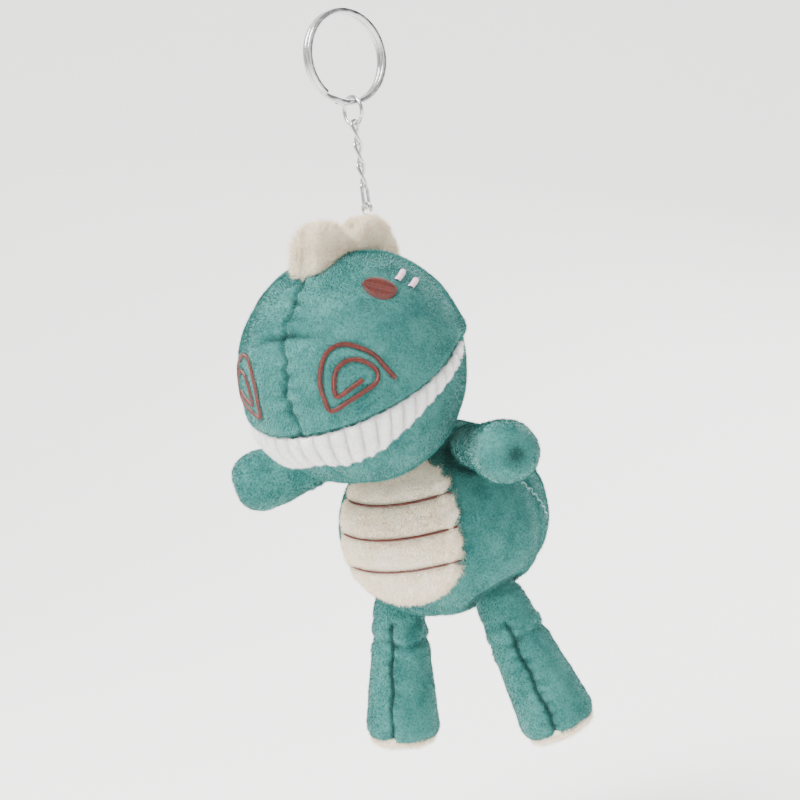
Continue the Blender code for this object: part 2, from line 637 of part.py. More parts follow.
def belly_cutter(name, grow):
    """Oval prism that marks the belly patch out of the torso's front."""
    bm = bmesh.new()
    bmesh.ops.create_cone(bm, cap_ends=True, segments=28, radius1=1.0, radius2=1.0, depth=1.0)
    wide = BELLY_HALF_WIDTH + grow
    high = BELLY_HALF_HEIGHT + grow
    for vert in bm.verts:
        back = (vert.co.z - 0.5) * BELLY_DEPTH
        vert.co = torso_local(Vector((vert.co.x * wide, back, vert.co.y * high + BELLY_RISE)))
    bmesh.ops.recalc_face_normals(bm, faces=bm.faces[:])
    return add_cutter(mesh_object(name, bm))


torso_surface = ball_surface(torso_point, *TORSO_MESH)
front = torso_local(Vector((0, -1, 0))) - TORSO_CENTRE
front_limit = (torso_local(Vector((0, SIDE_SEAM - SEAM_HALF, 0))), -front)
back_limit = (torso_local(Vector((0, SIDE_SEAM + SEAM_HALF, 0))), front)
belly_hole = (belly_cutter("belly_hole", GAP), "DIFFERENCE")
belly_shape = (belly_cutter("belly_shape", 0.0), "INTERSECT")
belly_limit = (torso_local(Vector((0, -2 * GAP, 0))), -front)
panel("belly_patch", torso_surface, [belly_limit], TORSO_WALL, CREAM, torso_pivot,
      [belly_shape] + torso_holes)
for side, outward in (("left", LEFT), ("right", RIGHT)):
    seam = (TORSO_CENTRE + outward * SEAM_HALF, -outward)
    panel("torso_side_" + side, torso_surface, [seam, front_limit], TORSO_WALL, TEAL, torso_pivot,
          [belly_hole] + torso_holes)
panel("torso_back", torso_surface, [back_limit], TORSO_WALL, TEAL, torso_pivot, torso_holes + tail_holes)
core("torso_stuffing", ball_surface(torso_point, *TORSO_MESH, -(TORSO_WALL + GAP)), torso_pivot,
     torso_holes + tail_holes)

for number, elevation, reach in BELLY_STITCHES:
    line = []
    for step in range(17):
        azimuth = math.radians(reach * (step - 8) / 8)
        line.append(torso_point(azimuth, math.radians(elevation), THREAD_LIFT + STITCH_THREAD))
    wire("belly_stitch_%d" % number, line, STITCH_THREAD, BROWN, torso_pivot, resolution=1)

ladder = []
for step in range(15):
    azimuth = math.radians(LADDER_AZIMUTH + LADDER_DRIFT * step + (LADDER_HALF if step % 2 else -LADDER_HALF))
    elevation = math.radians(LADDER_TOP - LADDER_STEP * step)
    ladder.append(torso_point(azimuth, elevation, THREAD_LIFT + LADDER_THREAD))
wire("closing_stitch", ladder, LADDER_THREAD, TEAL_THREAD, torso_pivot, resolution=1)

# ---------------------------------------------------------------- limbs


def sew_limb(names, profile, inner_profile, frame, pivot, sole_at=None):
    """Two panels either side of a seam, an optional sole beyond sole_at, and stuffing."""
    outer = turned_surface(profile, LIMB_STEPS, frame)
    across = frame.to_3x3() @ Vector((1, 0, 0))
    along = frame.to_3x3() @ Vector((0, 0, 1))
    start = frame.translation
    ends = []
    if sole_at is not None:
        ends = [(start + along * (sole_at - SEAM_HALF), along)]
        panel(names[3], outer, [(start + along * (sole_at + SEAM_HALF), -along)], LIMB_WALL, CREAM, pivot)
    panel(names[0], outer, [(start + across * SEAM_HALF, -across)] + ends, LIMB_WALL, TEAL, pivot)
    panel(names[1], outer, [(start - across * SEAM_HALF, across)] + ends, LIMB_WALL, TEAL, pivot)
    core(names[2], turned_surface(inner_profile, LIMB_STEPS, frame), pivot)


inset = LIMB_WALL + 2 * GAP
for side, sign in (("left", 1), ("right", -1)):
    mirror = Vector((sign, 1, 1))
    shoulder = ARM_PIVOT * mirror
    arm_along = ARM_REACH[side]
    arm_pivot = pivot_empty("arm_%s_pivot" % side, shoulder)
    arm_names = ["arm_%s_%s" % (side, piece) for piece in ("front", "back", "stuffing")]
    sew_limb(arm_names, capsule_profile(ARM_ROOT_RADIUS, ARM_HAND_RADIUS, arm_along.length),
             capsule_profile(ARM_ROOT_RADIUS, ARM_HAND_RADIUS, arm_along.length, inset),
             limb_frame(shoulder, arm_along, Vector((0, -1, 0))), arm_pivot)

    hip = LEG_PIVOT * mirror
    leg_pivot = pivot_empty("leg_%s_pivot" % side, hip)
    leg_names = ["leg_%s_%s" % (side, piece) for piece in ("outer", "inner", "stuffing")] + ["sole_" + side]
    sew_limb(leg_names, leg_profile(), leg_profile(inset),
             limb_frame(hip, LEG_DIRECTION[side], Vector((sign, 0, 0))), leg_pivot, LEG_LENGTH - SOLE_HEIGHT)

tail_pivot = pivot_empty("tail_pivot", TAIL_PIVOT)
sew_limb(["tail_left", "tail_right", "tail_stuffing"],
         capsule_profile(TAIL_ROOT_RADIUS, TAIL_TIP_RADIUS, TAIL_LENGTH),
         capsule_profile(TAIL_ROOT_RADIUS, TAIL_TIP_RADIUS, TAIL_LENGTH, inset),
         limb_frame(TAIL_PIVOT, TAIL_DIRECTION, LEFT), tail_pivot)
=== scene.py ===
import json
import math

import bpy
import numpy as np
from mathutils import Matrix, Vector, kdtree, noise


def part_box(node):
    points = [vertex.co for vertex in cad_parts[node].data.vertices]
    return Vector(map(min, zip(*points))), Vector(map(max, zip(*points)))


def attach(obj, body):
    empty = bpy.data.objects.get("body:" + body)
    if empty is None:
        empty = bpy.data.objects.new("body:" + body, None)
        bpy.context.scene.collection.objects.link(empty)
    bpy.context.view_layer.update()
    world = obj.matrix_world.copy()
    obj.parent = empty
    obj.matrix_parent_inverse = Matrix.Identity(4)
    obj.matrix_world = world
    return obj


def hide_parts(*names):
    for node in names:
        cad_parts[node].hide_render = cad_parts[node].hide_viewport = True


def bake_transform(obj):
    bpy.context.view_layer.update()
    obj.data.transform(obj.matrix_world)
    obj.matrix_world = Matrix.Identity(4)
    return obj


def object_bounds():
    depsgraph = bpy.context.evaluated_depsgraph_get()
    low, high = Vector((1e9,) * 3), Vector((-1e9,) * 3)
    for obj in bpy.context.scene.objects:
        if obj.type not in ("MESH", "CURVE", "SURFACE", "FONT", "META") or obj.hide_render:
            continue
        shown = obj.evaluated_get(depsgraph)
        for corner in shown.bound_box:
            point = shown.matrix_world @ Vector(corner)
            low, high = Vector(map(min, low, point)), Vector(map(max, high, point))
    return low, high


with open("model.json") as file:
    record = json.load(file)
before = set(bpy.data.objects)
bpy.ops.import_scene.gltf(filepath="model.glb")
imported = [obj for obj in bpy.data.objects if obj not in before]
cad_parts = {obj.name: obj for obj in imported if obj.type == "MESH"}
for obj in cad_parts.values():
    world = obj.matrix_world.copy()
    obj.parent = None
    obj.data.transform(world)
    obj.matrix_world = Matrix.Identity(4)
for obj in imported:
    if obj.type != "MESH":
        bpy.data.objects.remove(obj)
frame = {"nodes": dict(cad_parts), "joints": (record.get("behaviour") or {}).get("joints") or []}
cadLow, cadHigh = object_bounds()
mm = 0.001
joints = {joint["name"]: Vector(joint["pos_m"]) for joint in frame["joints"]}
print("frame loaded:", len(frame["nodes"]), "nodes")


# small helpers

def clearSelection():
    if bpy.context.object and bpy.context.object.mode != "OBJECT":
        bpy.ops.object.mode_set(mode="OBJECT")
    bpy.ops.object.select_all(action="DESELECT")


def pick(obj):
    clearSelection()
    obj.select_set(True)
    bpy.context.view_layer.objects.active = obj
    return obj


def applyModifiers(obj):
    pick(obj)
    for name in [modifier.name for modifier in obj.modifiers]:
        bpy.ops.object.modifier_apply(modifier=name)
    return obj


def settleObject(obj):
    pick(obj)
    bpy.ops.object.transform_apply(location=True, rotation=True, scale=True)
    return obj


def getPoints(obj):
    points = np.zeros(len(obj.data.vertices) * 3)
    obj.data.vertices.foreach_get("co", points)
    return points.reshape(-1, 3)


def setPoints(obj, points):
    obj.data.vertices.foreach_set("co", np.asarray(points, dtype=np.float32).ravel())
    obj.data.update()
    return obj


def getNormals(obj):
    normals = np.zeros(len(obj.data.vertices) * 3, dtype=np.float32)
    obj.data.vertices.foreach_get("normal", normals)
    return normals.reshape(-1, 3).astype(float)


def pushOut(obj, amount):
    return setPoints(obj, getPoints(obj) + getNormals(obj) * np.asarray(amount)[:, None])


def subdivided(obj, levels=1):
    smooth = obj.modifiers.new("smooth", "SUBSURF")
    smooth.levels = levels
    smooth.render_levels = levels
    return applyModifiers(obj)


def shadedSmooth(obj):
    pick(obj)
    bpy.ops.object.shade_smooth()
    return obj


def unit(rows):  # every row made 1 long
    return rows / np.maximum(np.linalg.norm(rows, axis=1), 1e-9)[:, None]


def newObject(name, data):
    made = bpy.data.objects.new(name, data)
    bpy.context.scene.collection.objects.link(made)
    return made


def editAll(obj, operator, **values):  # one mesh operator on the whole mesh
    pick(obj)
    bpy.ops.object.mode_set(mode="EDIT")
    bpy.ops.mesh.select_all(action="SELECT")
    operator(**values)
    bpy.ops.object.mode_set(mode="OBJECT")
    return obj


def facedOut(obj):
    return editAll(obj, bpy.ops.mesh.normals_make_consistent, inside=False)


def dividedCube(name, cuts):
    clearSelection()
    bpy.ops.mesh.primitive_cube_add(size=2.0)
    cube = bpy.context.object
    cube.name = name
    return editAll(cube, bpy.ops.mesh.subdivide, number_cuts=cuts)


def quadBall(name, cuts):  # a cube divided into even squares and blown up to a ball of radius 1
    ball = dividedCube(name, cuts)
    return shadedSmooth(setPoints(ball, unit(np.tan(getPoints(ball) * math.pi / 4))))


def newGrid(name, columns, rows, size=2.0, **values):
    clearSelection()
    bpy.ops.mesh.primitive_grid_add(x_subdivisions=columns, y_subdivisions=rows, size=size, **values)
    grid = bpy.context.object
    grid.name = name
    return grid


def thickened(sheet, wall):  # gives a sheet a back wall
    thick = sheet.modifiers.new("cloth", "SOLIDIFY")
    thick.thickness = wall * mm
    thick.offset = -1.0
    return shadedSmooth(applyModifiers(sheet))


def patternNoise(points, size, shift=0.0):
    away = Vector((shift, 2.3 * shift, -1.7 * shift))
    return np.array([noise.noise(Vector(point) + away) for point in points / size])


def bump(distance, width):
    return np.exp(-(distance / width) ** 2)


def softStep(value, low, high):
    share = np.clip((value - low) / (high - low), 0.0, 1.0)
    return share * share * (3 - 2 * share)


def nearestTo(points, path):  # distance from each point to the nearest point of a path
    tree = kdtree.KDTree(len(path))
    for index, place in enumerate(path):
        tree.insert(Vector(place), index)
    tree.balance()
    return np.array([tree.find(Vector(point))[2] for point in points])


def lengthsAlong(line):  # the length of a path up to each of its points
    return np.concatenate([[0], np.cumsum(np.linalg.norm(np.diff(line, axis=0), axis=1))])


def alongPath(path, spacing):  # even points along a smooth path, with their directions
    path = np.array([tuple(place) for place in path])
    fine = []
    for index in range(len(path) - 1):
        before = path[max(index - 1, 0)]
        start, end = path[index], path[index + 1]
        after = path[min(index + 2, len(path) - 1)]
        for share in np.arange(0, 1, 0.05):
            curve = 2 * start + (end - before) * share + (2 * before - 5 * start + 4 * end - after) * share ** 2
            fine.append(0.5 * (curve + (3 * start - before - 3 * end + after) * share ** 3))
    fine = np.array(fine + [path[-1]])
    length = lengthsAlong(fine)
    stops = np.arange(spacing / 2, length[-1], spacing)
    places = np.stack([np.interp(stops, length, fine[:, axis]) for axis in range(3)], axis=1)
    return places, unit(np.gradient(places, axis=0))


def puckers(seam, down, pitch, phase, spread):  # the fabric gathered in waves beside a seam
    return np.sin(down * 2 * math.pi / pitch + phase) * bump(seam, spread) * (1 - bump(seam, 0.8))


def nodeMiddle(name):
    return Vector(getPoints(frame["nodes"][name]).mean(axis=0))


# shapes shared by the CAD and the fabric, in millimetres from each part's own centre

sideWords = {1: "left", -1: "right"}
headShape = {"side": 28.4, "front": 32.6, "back": 30.4, "top": 29.7, "bottom": 31.2, "jawSetBack": 1.5,
             "torsoGap": 1.085, "pileGap": 1.10, "gapStep": 0.3}
torsoShape = {"side": 27.9, "depth": 27.9, "height": 25.4, "pitch": 14.0, "flare": 0.05, "neckToCentre": 27.4}

headLow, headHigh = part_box("head_side_left")
headCentre = Vector((0, headLow.y + headShape["front"] * mm, headHigh.z - headShape["top"] * mm))
neckPivot = joints["neck_turn"]
towardsTorso = (neckPivot - headCentre).normalized()
torsoCentre = neckPivot + towardsTorso * torsoShape["neckToCentre"] * mm
torsoTurn = np.array(Matrix.Rotation(math.radians(torsoShape["pitch"]), 3, "X"))
torsoSize = np.array([torsoShape["side"], torsoShape["depth"], torsoShape["height"]])
headMiddle, torsoMiddle = np.array(headCentre), np.array(torsoCentre)


def headRadius(directions):
    depth = np.where(directions[:, 1] < 0, headShape["front"], headShape["back"])
    height = np.where(directions[:, 2] > 0, headShape["top"], headShape["bottom"])
    size = np.column_stack([np.full(len(depth), headShape["side"]), depth, height])
    return 1 / np.linalg.norm(directions / size, axis=1)


def facing(azimuth, elevation):  # unit directions; azimuth from straight ahead towards the toy's left, in degrees
    azimuth, elevation = np.broadcast_arrays(np.radians(azimuth), np.radians(elevation))
    level = np.cos(elevation)
    return np.stack([np.sin(azimuth) * level, -np.cos(azimuth) * level, np.sin(elevation)], axis=-1).reshape(-1, 3)


def onHead(azimuth, elevation, lift=0.0):
    directions = facing(azimuth, elevation)
    return headMiddle + directions * (headRadius(directions) + lift)[:, None] * mm


def fromHead(points):  # world metres to millimetres from the head's centre
    return (points - headMiddle) / mm


def torsoFlare(height):  # narrower towards the top
    return 1 - torsoShape["flare"] * height / torsoShape["height"]


def torsoPlace(directions, lift=0.0):
    reach = 1 / np.linalg.norm(directions / torsoSize, axis=1)
    local = directions * (reach + lift)[:, None]
    local[:, :2] *= torsoFlare(local[:, 2])[:, None]
    return torsoMiddle + local @ torsoTurn.T * mm


def onTorso(azimuth, elevation, lift=0.0):
    return torsoPlace(facing(azimuth, elevation), lift)


def torsoLocal(points):  # world metres to the torso's own millimetres
    return (points - torsoMiddle) / mm @ torsoTurn


def torsoField(points):  # 1 on the torso's surface, more outside it
    local = torsoLocal(points)
    local[:, :2] /= torsoFlare(local[:, 2])[:, None]
    return np.linalg.norm(local / torsoSize, axis=1)


# node helpers and materials

def feed(tree, socket, value):  # a plain value, or another node's output
    if isinstance(value, bpy.types.NodeSocket):
        tree.links.new(value, socket)
    else:
        socket.default_value = value


def addNode(tree, kind, numbered=None, **values):  # inputs by number or by name, and the node's own settings
    made = tree.nodes.new(kind)
    for name, value in values.items():
        if hasattr(made, name):
            setattr(made, name, value)
        else:
            feed(tree, made.inputs[name.replace("_", " ")], value)
    for number, value in (numbered or {}).items():
        feed(tree, made.inputs[number], value)
    return made


def newGroup(name, inputs, outputs, kind="ShaderNodeTree"):
    tree = bpy.data.node_groups.new(name, kind)
    for direction, sockets in (("INPUT", inputs), ("OUTPUT", outputs)):
        for socketName, socketKind in sockets:
            tree.interface.new_socket(name=socketName, in_out=direction, socket_type="NodeSocket" + socketKind)
    return tree, tree.nodes.new("NodeGroupInput").outputs, tree.nodes.new("NodeGroupOutput").inputs


def times(tree, first, second):
    return addNode(tree, "ShaderNodeMath", {0: first, 1: second}, operation="MULTIPLY").outputs[0]


def scaledBy(tree, vector, share):
    return addNode(tree, "ShaderNodeVectorMath", {0: vector}, operation="SCALE", Scale=share).outputs[0]


def mapped(tree, value, start=(0.0, 1.0), end=(0.0, 1.0), curve="LINEAR"):
    return addNode(tree, "ShaderNodeMapRange", interpolation_type=curve, Value=value, From_Min=start[0],
                   From_Max=start[1], To_Min=end[0], To_Max=end[1]).outputs["Result"]


def mixColours(tree, share, first, second):
    return addNode(tree, "ShaderNodeMix", {0: share, 6: first, 7: second}, data_type="RGBA").outputs[2]


def noiseOn(tree, vector, scale, detail, roughness):
    return addNode(tree, "ShaderNodeTexNoise", Vector=vector, Scale=scale, Detail=detail,
                   Roughness=roughness).outputs["Fac"]


def objectPlace(tree):
    return addNode(tree, "ShaderNodeTexCoord").outputs["Object"]


def stored(tree, name):  # an attribute of the mesh
    return addNode(tree, "ShaderNodeAttribute", attribute_name=name).outputs["Fac"]


def raiseBy(tree, shader, height, strength, distance):
    bumped = addNode(tree, "ShaderNodeBump", Height=height, Strength=strength, Distance=distance * mm)
    feed(tree, shader.inputs["Normal"], bumped.outputs["Normal"])


def makeNapGroup():  # patches where the pile is brushed one way or the other, and fine fibre speckle
    tree, given, out = newGroup("nap", [("Dark", "Color"), ("Light", "Color"), ("Patch", "Float"), ("Fibre", "Float")],
                                [("Color", "Color"), ("Height", "Float")])
    place = objectPlace(tree)
    patches = noiseOn(tree, place, given["Patch"], 3.0, 0.55)
    fibres = noiseOn(tree, place, given["Fibre"], 4.0, 0.7)
    both = addNode(tree, "ShaderNodeMix", {0: 0.55, 2: patches, 3: fibres}, data_type="FLOAT").outputs[0]
    spread = mapped(tree, both, (0.34, 0.66), curve="SMOOTHSTEP")
    feed(tree, out["Color"], mixColours(tree, spread, given["Dark"], given["Light"]))
    feed(tree, out["Height"], fibres)
    return tree


napGroup = makeNapGroup()


def newMaterial(name, values):
    made = bpy.data.materials.new(name)
    made.use_nodes = True
    shader = made.node_tree.nodes["Principled BSDF"]
    for socket, value in values.items():
        shader.inputs[socket].default_value = value
    return made, made.node_tree, shader


def plushMaterial(name, settings, isPile):
    made, tree, shader = newMaterial(name, settings["shader"])
    nap = addNode(tree, "ShaderNodeGroup", node_tree=napGroup, Dark=(*settings["dark"], 1),
                  Light=(*settings["light"], 1), Patch=settings["patch"], Fibre=settings["fibre"])
    # painted shade: the colour is darkened where the mesh marks creases, seams, stitch and rib grooves and the arm's
    # tip dimple
    colour = scaledBy(tree, nap.outputs["Color"], mapped(tree, stored(tree, "paintedShade"), end=(1.0, settings["creaseShadeLevel"])))
    if isPile:
        # painted shade: each fibre is darker at its root, where the pile shades itself, and lighter at its tip
        along = mapped(tree, stored(tree, "tip"), end=(settings["root"], settings["tip"]))
        spread = mapped(tree, stored(tree, "shade"), end=(settings["darkest"], settings["lightest"]))
        colour = scaledBy(tree, colour, times(tree, along, spread))
    else:
        raiseBy(tree, shader, nap.outputs["Height"], 0.6, settings["relief"])
    feed(tree, shader.inputs["Base Color"], colour)
    return made


# in each finish the crease factor darkens the colour as painted shade in creases and seams, and root and tip darken the
# pile towards the fibre roots as painted shade
tealFinish = {"dark": (0.017, 0.118, 0.110), "light": (0.066, 0.240, 0.215), "patch": 150.0, "fibre": 1700.0,
              "relief": 0.5, "root": 0.55, "tip": 1.45, "darkest": 0.62, "lightest": 1.42, "creaseShadeLevel": 0.45,
              "shader": {"Roughness": 0.85, "Sheen Weight": 0.6, "Sheen Roughness": 0.30,
                         "Sheen Tint": (0.60, 0.92, 0.87, 1), "Specular IOR Level": 0.2}}
creamFinish = {"dark": (0.88, 0.74, 0.55), "light": (1.0, 0.94, 0.80), "patch": 260.0, "fibre": 1300.0,
               "relief": 0.6, "root": 0.86, "tip": 1.05, "darkest": 0.93, "lightest": 1.05, "creaseShadeLevel": 0.62,
               "shader": {"Roughness": 0.9, "Sheen Weight": 0.35, "Sheen Roughness": 0.5,
                          "Sheen Tint": (1.0, 0.97, 0.92, 1), "Specular IOR Level": 0.2}}
ribFinish = {"dark": (0.82, 0.80, 0.79), "light": (0.96, 0.955, 0.95), "patch": 300.0, "fibre": 1700.0,
             "relief": 0.4, "root": 0.88, "tip": 1.04, "darkest": 0.94, "lightest": 1.04, "creaseShadeLevel": 0.7,
             "shader": {"Roughness": 0.9, "Sheen Weight": 0.4, "Sheen Roughness": 0.5,
                        "Sheen Tint": (1.0, 1.0, 1.0, 1), "Specular IOR Level": 0.2}}
tealSkin = plushMaterial("tealPlush", tealFinish, False)
tealPile = plushMaterial("tealPile", tealFinish, True)
creamSkin = plushMaterial("creamFleece", creamFinish, False)
creamPile = plushMaterial("creamPile", creamFinish, True)
ribSkin = plushMaterial("ribbedWhite", ribFinish, False)
ribPile = plushMaterial("ribbedPile", ribFinish, True)


threadFinish = {"fineness": 2600.0, "strength": 0.5, "relief": 0.08,
                "shader": {"Roughness": 0.42, "Sheen Weight": 0.12, "Sheen Roughness": 0.35, "Specular IOR Level": 0.6}}


def threadMaterial(name, dark, light):
    made, tree, shader = newMaterial(name, {**threadFinish["shader"], "Sheen Tint": (*light, 1)})
    strands = noiseOn(tree, objectPlace(tree), threadFinish["fineness"], 3.0, 0.7)
    share = times(tree, strands, stored(tree, "shade"))
    feed(tree, shader.inputs["Base Color"], mixColours(tree, share, (*dark, 1), (*light, 1)))
    raiseBy(tree, shader, strands, threadFinish["strength"], threadFinish["relief"])
    return made


brownThread = threadMaterial("brownThread", (0.014, 0.002, 0.002), (0.19, 0.022, 0.011))
pinkThread = threadMaterial("pinkThread", (0.72, 0.36, 0.52), (1.0, 0.80, 0.92))
tealThread = threadMaterial("tealSewingThread", (0.10, 0.28, 0.26), (0.30, 0.55, 0.52))


def steelMaterial():
    made, tree, shader = newMaterial("brightSteel", {"Metallic": 1.0})
    cloudy = noiseOn(tree, objectPlace(tree), 420.0, 4.0, 0.6)
    drawn = addNode(tree, "ShaderNodeMapping", Vector=objectPlace(tree), Scale=(1.0, 1.0, 0.15)).outputs["Vector"]
    scratch = noiseOn(tree, drawn, 2600.0, 2.0, 0.7)
    feed(tree, shader.inputs["Roughness"], mapped(tree, cloudy, (0.3, 0.7), (0.14, 0.34)))
    feed(tree, shader.inputs["Base Color"], mixColours(tree, cloudy, (0.42, 0.42, 0.43, 1), (0.74, 0.74, 0.73, 1)))
    raiseBy(tree, shader, scratch, 0.25, 0.03)
    return made


steel = steelMaterial()
print("materials made")


def giveMaterial(obj, made):
    obj.data.materials.clear()
    obj.data.materials.append(made)
    return obj


def place(obj, made, body, slot, *nodes):
    giveMaterial(obj, made)
    if body:
        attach(obj, body)
    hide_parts(*nodes)
    return obj


# pile: short fibres that stand on a skin, combed by the "comb" attribute

def makePileGroup():
    tree, given, out = newGroup(
        "pileFibres", [("Geometry", "Geometry"), ("Density", "Float"), ("Length", "Float"), ("Width", "Float"),
                       ("Lean", "Float"), ("Ruffle", "Float"), ("Seed", "Int"), ("Finish", "Material")],
        [("Geometry", "Geometry")], "GeometryNodeTree")

    def named(name, kind="FLOAT"):
        return addNode(tree, "GeometryNodeInputNamedAttribute", data_type=kind, Name=name).outputs["Attribute"]

    def added(first, second):
        return addNode(tree, "ShaderNodeVectorMath", {0: first, 1: second}, operation="ADD").outputs[0]

    def randomValue(kind, low, high, shift):
        seed = addNode(tree, "ShaderNodeMath", {0: given["Seed"], 1: shift}, operation="ADD").outputs[0]
        made = addNode(tree, "FunctionNodeRandomValue", data_type=kind, Seed=seed)
        limits = [socket for socket in made.inputs if socket.enabled and socket.name in ("Min", "Max")]
        limits[0].default_value, limits[1].default_value = low, high
        return [socket for socket in made.outputs if socket.enabled][0]

    def keptAs(name, domain, geometry, value):
        return addNode(tree, "GeometryNodeStoreNamedAttribute", data_type="FLOAT", domain=domain, Name=name,
                       Geometry=geometry, Value=value).outputs["Geometry"]

    scatter = addNode(tree, "GeometryNodeDistributePointsOnFaces", Mesh=given["Geometry"],
                      Density=times(tree, given["Density"], named("pile")), Seed=given["Seed"])
    combed = scaledBy(tree, named("comb", "FLOAT_VECTOR"), given["Lean"])
    ruffled = scaledBy(tree, randomValue("FLOAT_VECTOR", (-1, -1, -1), (1, 1, 1), 1), given["Ruffle"])
    upward = added(added(scatter.outputs["Normal"], combed), ruffled)
    turn = addNode(tree, "FunctionNodeAlignRotationToVector", axis="Z", Vector=upward)
    fibre = addNode(tree, "GeometryNodeMeshCone", fill_type="NONE", Vertices=3, Side_Segments=1, Radius_Top=0.0,
                    Radius_Bottom=1.0, Depth=1.0)
    height = addNode(tree, "ShaderNodeSeparateXYZ", {0: addNode(tree, "GeometryNodeInputPosition").outputs[0]})
    tipped = keptAs("tip", "POINT", fibre.outputs["Mesh"], height.outputs["Z"])
    tall = times(tree, times(tree, given["Length"], named("long")), randomValue("FLOAT", 0.7, 1.3, 2))
    size = addNode(tree, "ShaderNodeCombineXYZ", X=given["Width"], Y=given["Width"], Z=tall)
    stand = addNode(tree, "GeometryNodeInstanceOnPoints", Points=scatter.outputs["Points"], Instance=tipped,
                    Rotation=turn.outputs["Rotation"], Scale=size.outputs[0])
    shaded = keptAs("shade", "INSTANCE", stand.outputs["Instances"], randomValue("FLOAT", 0.0, 1.0, 3))
    real = addNode(tree, "GeometryNodeRealizeInstances", Geometry=shaded)
    finish = addNode(tree, "GeometryNodeSetMaterial", Geometry=real.outputs["Geometry"], Material=given["Finish"])
    feed(tree, out["Geometry"], finish.outputs["Geometry"])
    return tree


pileGroup = makePileGroup()


def setAttribute(obj, name, values, kind="FLOAT"):
    attribute = obj.data.attributes.get(name) or obj.data.attributes.new(name, kind, "POINT")
    attribute.data.foreach_set("vector" if kind == "FLOAT_VECTOR" else "value", np.asarray(values, np.float32).ravel())


def growPile(skin, name, finish, settings, pile, comb, longness=None):
    setAttribute(skin, "pile", pile)
    setAttribute(skin, "comb", comb, "FLOAT_VECTOR")
    setAttribute(skin, "long", np.ones(len(pile)) if longness is None else longness)
    fur = newObject(name, skin.data.copy())
    grow = fur.modifiers.new("pile", "NODES")
    grow.node_group = pileGroup
    values = {"Density": settings["density"] / mm ** 2, "Length": settings["length"] * mm,
              "Width": settings["width"] * mm, "Lean": settings["lean"], "Ruffle": settings["ruffle"],
              "Seed": settings["seed"], "Finish": finish}
    for socket in pileGroup.interface.items_tree:
        if socket.in_out == "INPUT" and socket.name in values:
            grow[socket.identifier] = values[socket.name]
    applyModifiers(fur)
    for mesh in (skin.data, fur.data):
        for spare in ("pile", "comb", "long"):
            if spare in mesh.attributes:
                mesh.attributes.remove(mesh.attributes[spare])
    print("pile", name, len(fur.data.polygons), "faces")
    return giveMaterial(fur, finish)


def dress(skin, fur, skinFinish, body, slot, fill, *nodes):  # a padded skin with its pile, both on one body
    place(skin, skinFinish, body, slot, *nodes)
    place(fur, fur.data.materials[0], body, slot)


def paintedCreaseShade(lift):  # painted shade: 1 in the deepest creases, where shade falls
    return softStep(-lift / mm, 0.25, 1.3)


def combDown(normals, down=(0.15, 0.1, -1.0)):  # each fibre leans down the surface
    down = np.array(down) / np.linalg.norm(down)
    return down - normals * (normals @ down)[:, None]


# head: one skin over the stuffing, with the centre seam, a dart, the mouth seam and a set-back jaw

mouthSeam = {"low": -25.0, "rise": 0.0032, "end": 100.0, "back": 0.14, "ledge": 1.1, "crease": 0.7}
teethSet = {"edge": [(0, -41.5), (9.4, -43.4), (23.5, -44.6), (40.7, -40.3), (51.4, -34.0), (61.3, -26.8),
                     (77.5, -15.9), (92.3, -6.0), (99.5, 2.6), (106, 6.6)],
            "end": 101.0, "ribWidth": 3.8, "ribRise": 1.2, "wall": 0.9, "pink": 1.9, "pinkDepth": 1.9,
            "columns": 640, "rows": 20, "radius": 31}
teethPileSet = {"density": 9.0, "length": 0.5, "width": 0.075, "lean": 0.5, "ruffle": 0.45, "seed": 11}
headSeam = {"width": 0.75, "depth": 1.15, "valley": 5.5, "valleyDepth": 1.1, "pucker": 3.4, "puckerDepth": 0.55,
            "dartElevation": 22.0, "dartReach": 10.0, "dartDepth": 1.3, "waver": 0.5}
tealPileSet = {"density": 5.8, "length": 0.66, "width": 0.08, "lean": 0.85, "ruffle": 0.42, "seed": 3}


def mouthElevation(azimuths):  # the mouth seam climbs to the corners of the smile, then runs on round the back
    away = np.abs(azimuths)
    return (mouthSeam["low"] + mouthSeam["rise"] * np.minimum(away, mouthSeam["end"]) ** 2
            + mouthSeam["back"] * np.maximum(away - mouthSeam["end"], 0))


def aboveMouth(local):
    reach = np.linalg.norm(local, axis=1)
    elevation = np.degrees(np.arcsin(np.clip(local[:, 2] / reach, -1, 1)))
    azimuth = np.degrees(np.arctan2(local[:, 0], -local[:, 1]))
    return (elevation - mouthElevation(azimuth)) * math.pi / 180 * reach


def dartLine(local):  # height above the dart, which bows down a little to each side
    middle = headShape["top"] * math.sin(math.radians(headSeam["dartElevation"]))
    return local[:, 2] - middle + 0.012 * local[:, 0] ** 2


def headForm(directions):
    local = directions * headRadius(directions)[:, None]
    away = np.abs(local[:, 0])
    above = aboveMouth(local)
    seamed = np.maximum(softStep(above, -1.0, 2.0), 0.55)
    lift = -headSeam["valleyDepth"] * bump(away, headSeam["valley"]) * seamed
    lift = lift - headShape["jawSetBack"] * (1 - softStep(above, -mouthSeam["ledge"], 0.3))
    reach = headRadius(directions) + lift
    points = headMiddle + directions * reach[:, None] * mm
    for step in range(60):  # the underside keeps clear of the torso
        inside = torsoField(points) < headShape["torsoGap"]
        if not inside.any():
            break
        reach[inside] -= headShape["gapStep"]
        points = headMiddle + directions * reach[:, None] * mm
    return points


def smoothed(obj, where, times):  # evens out the form where a mask says so
    pick(obj)
    group = obj.vertex_groups.new(name="soften")
    for index in np.nonzero(where > 0.01)[0]:
        group.add([int(index)], float(where[index]), "REPLACE")
    soften = obj.modifiers.new("soften", "SMOOTH")
    soften.vertex_group = "soften"
    soften.iterations = times
    soften.factor = 0.5
    applyModifiers(obj)
    obj.vertex_groups.clear()
    return obj


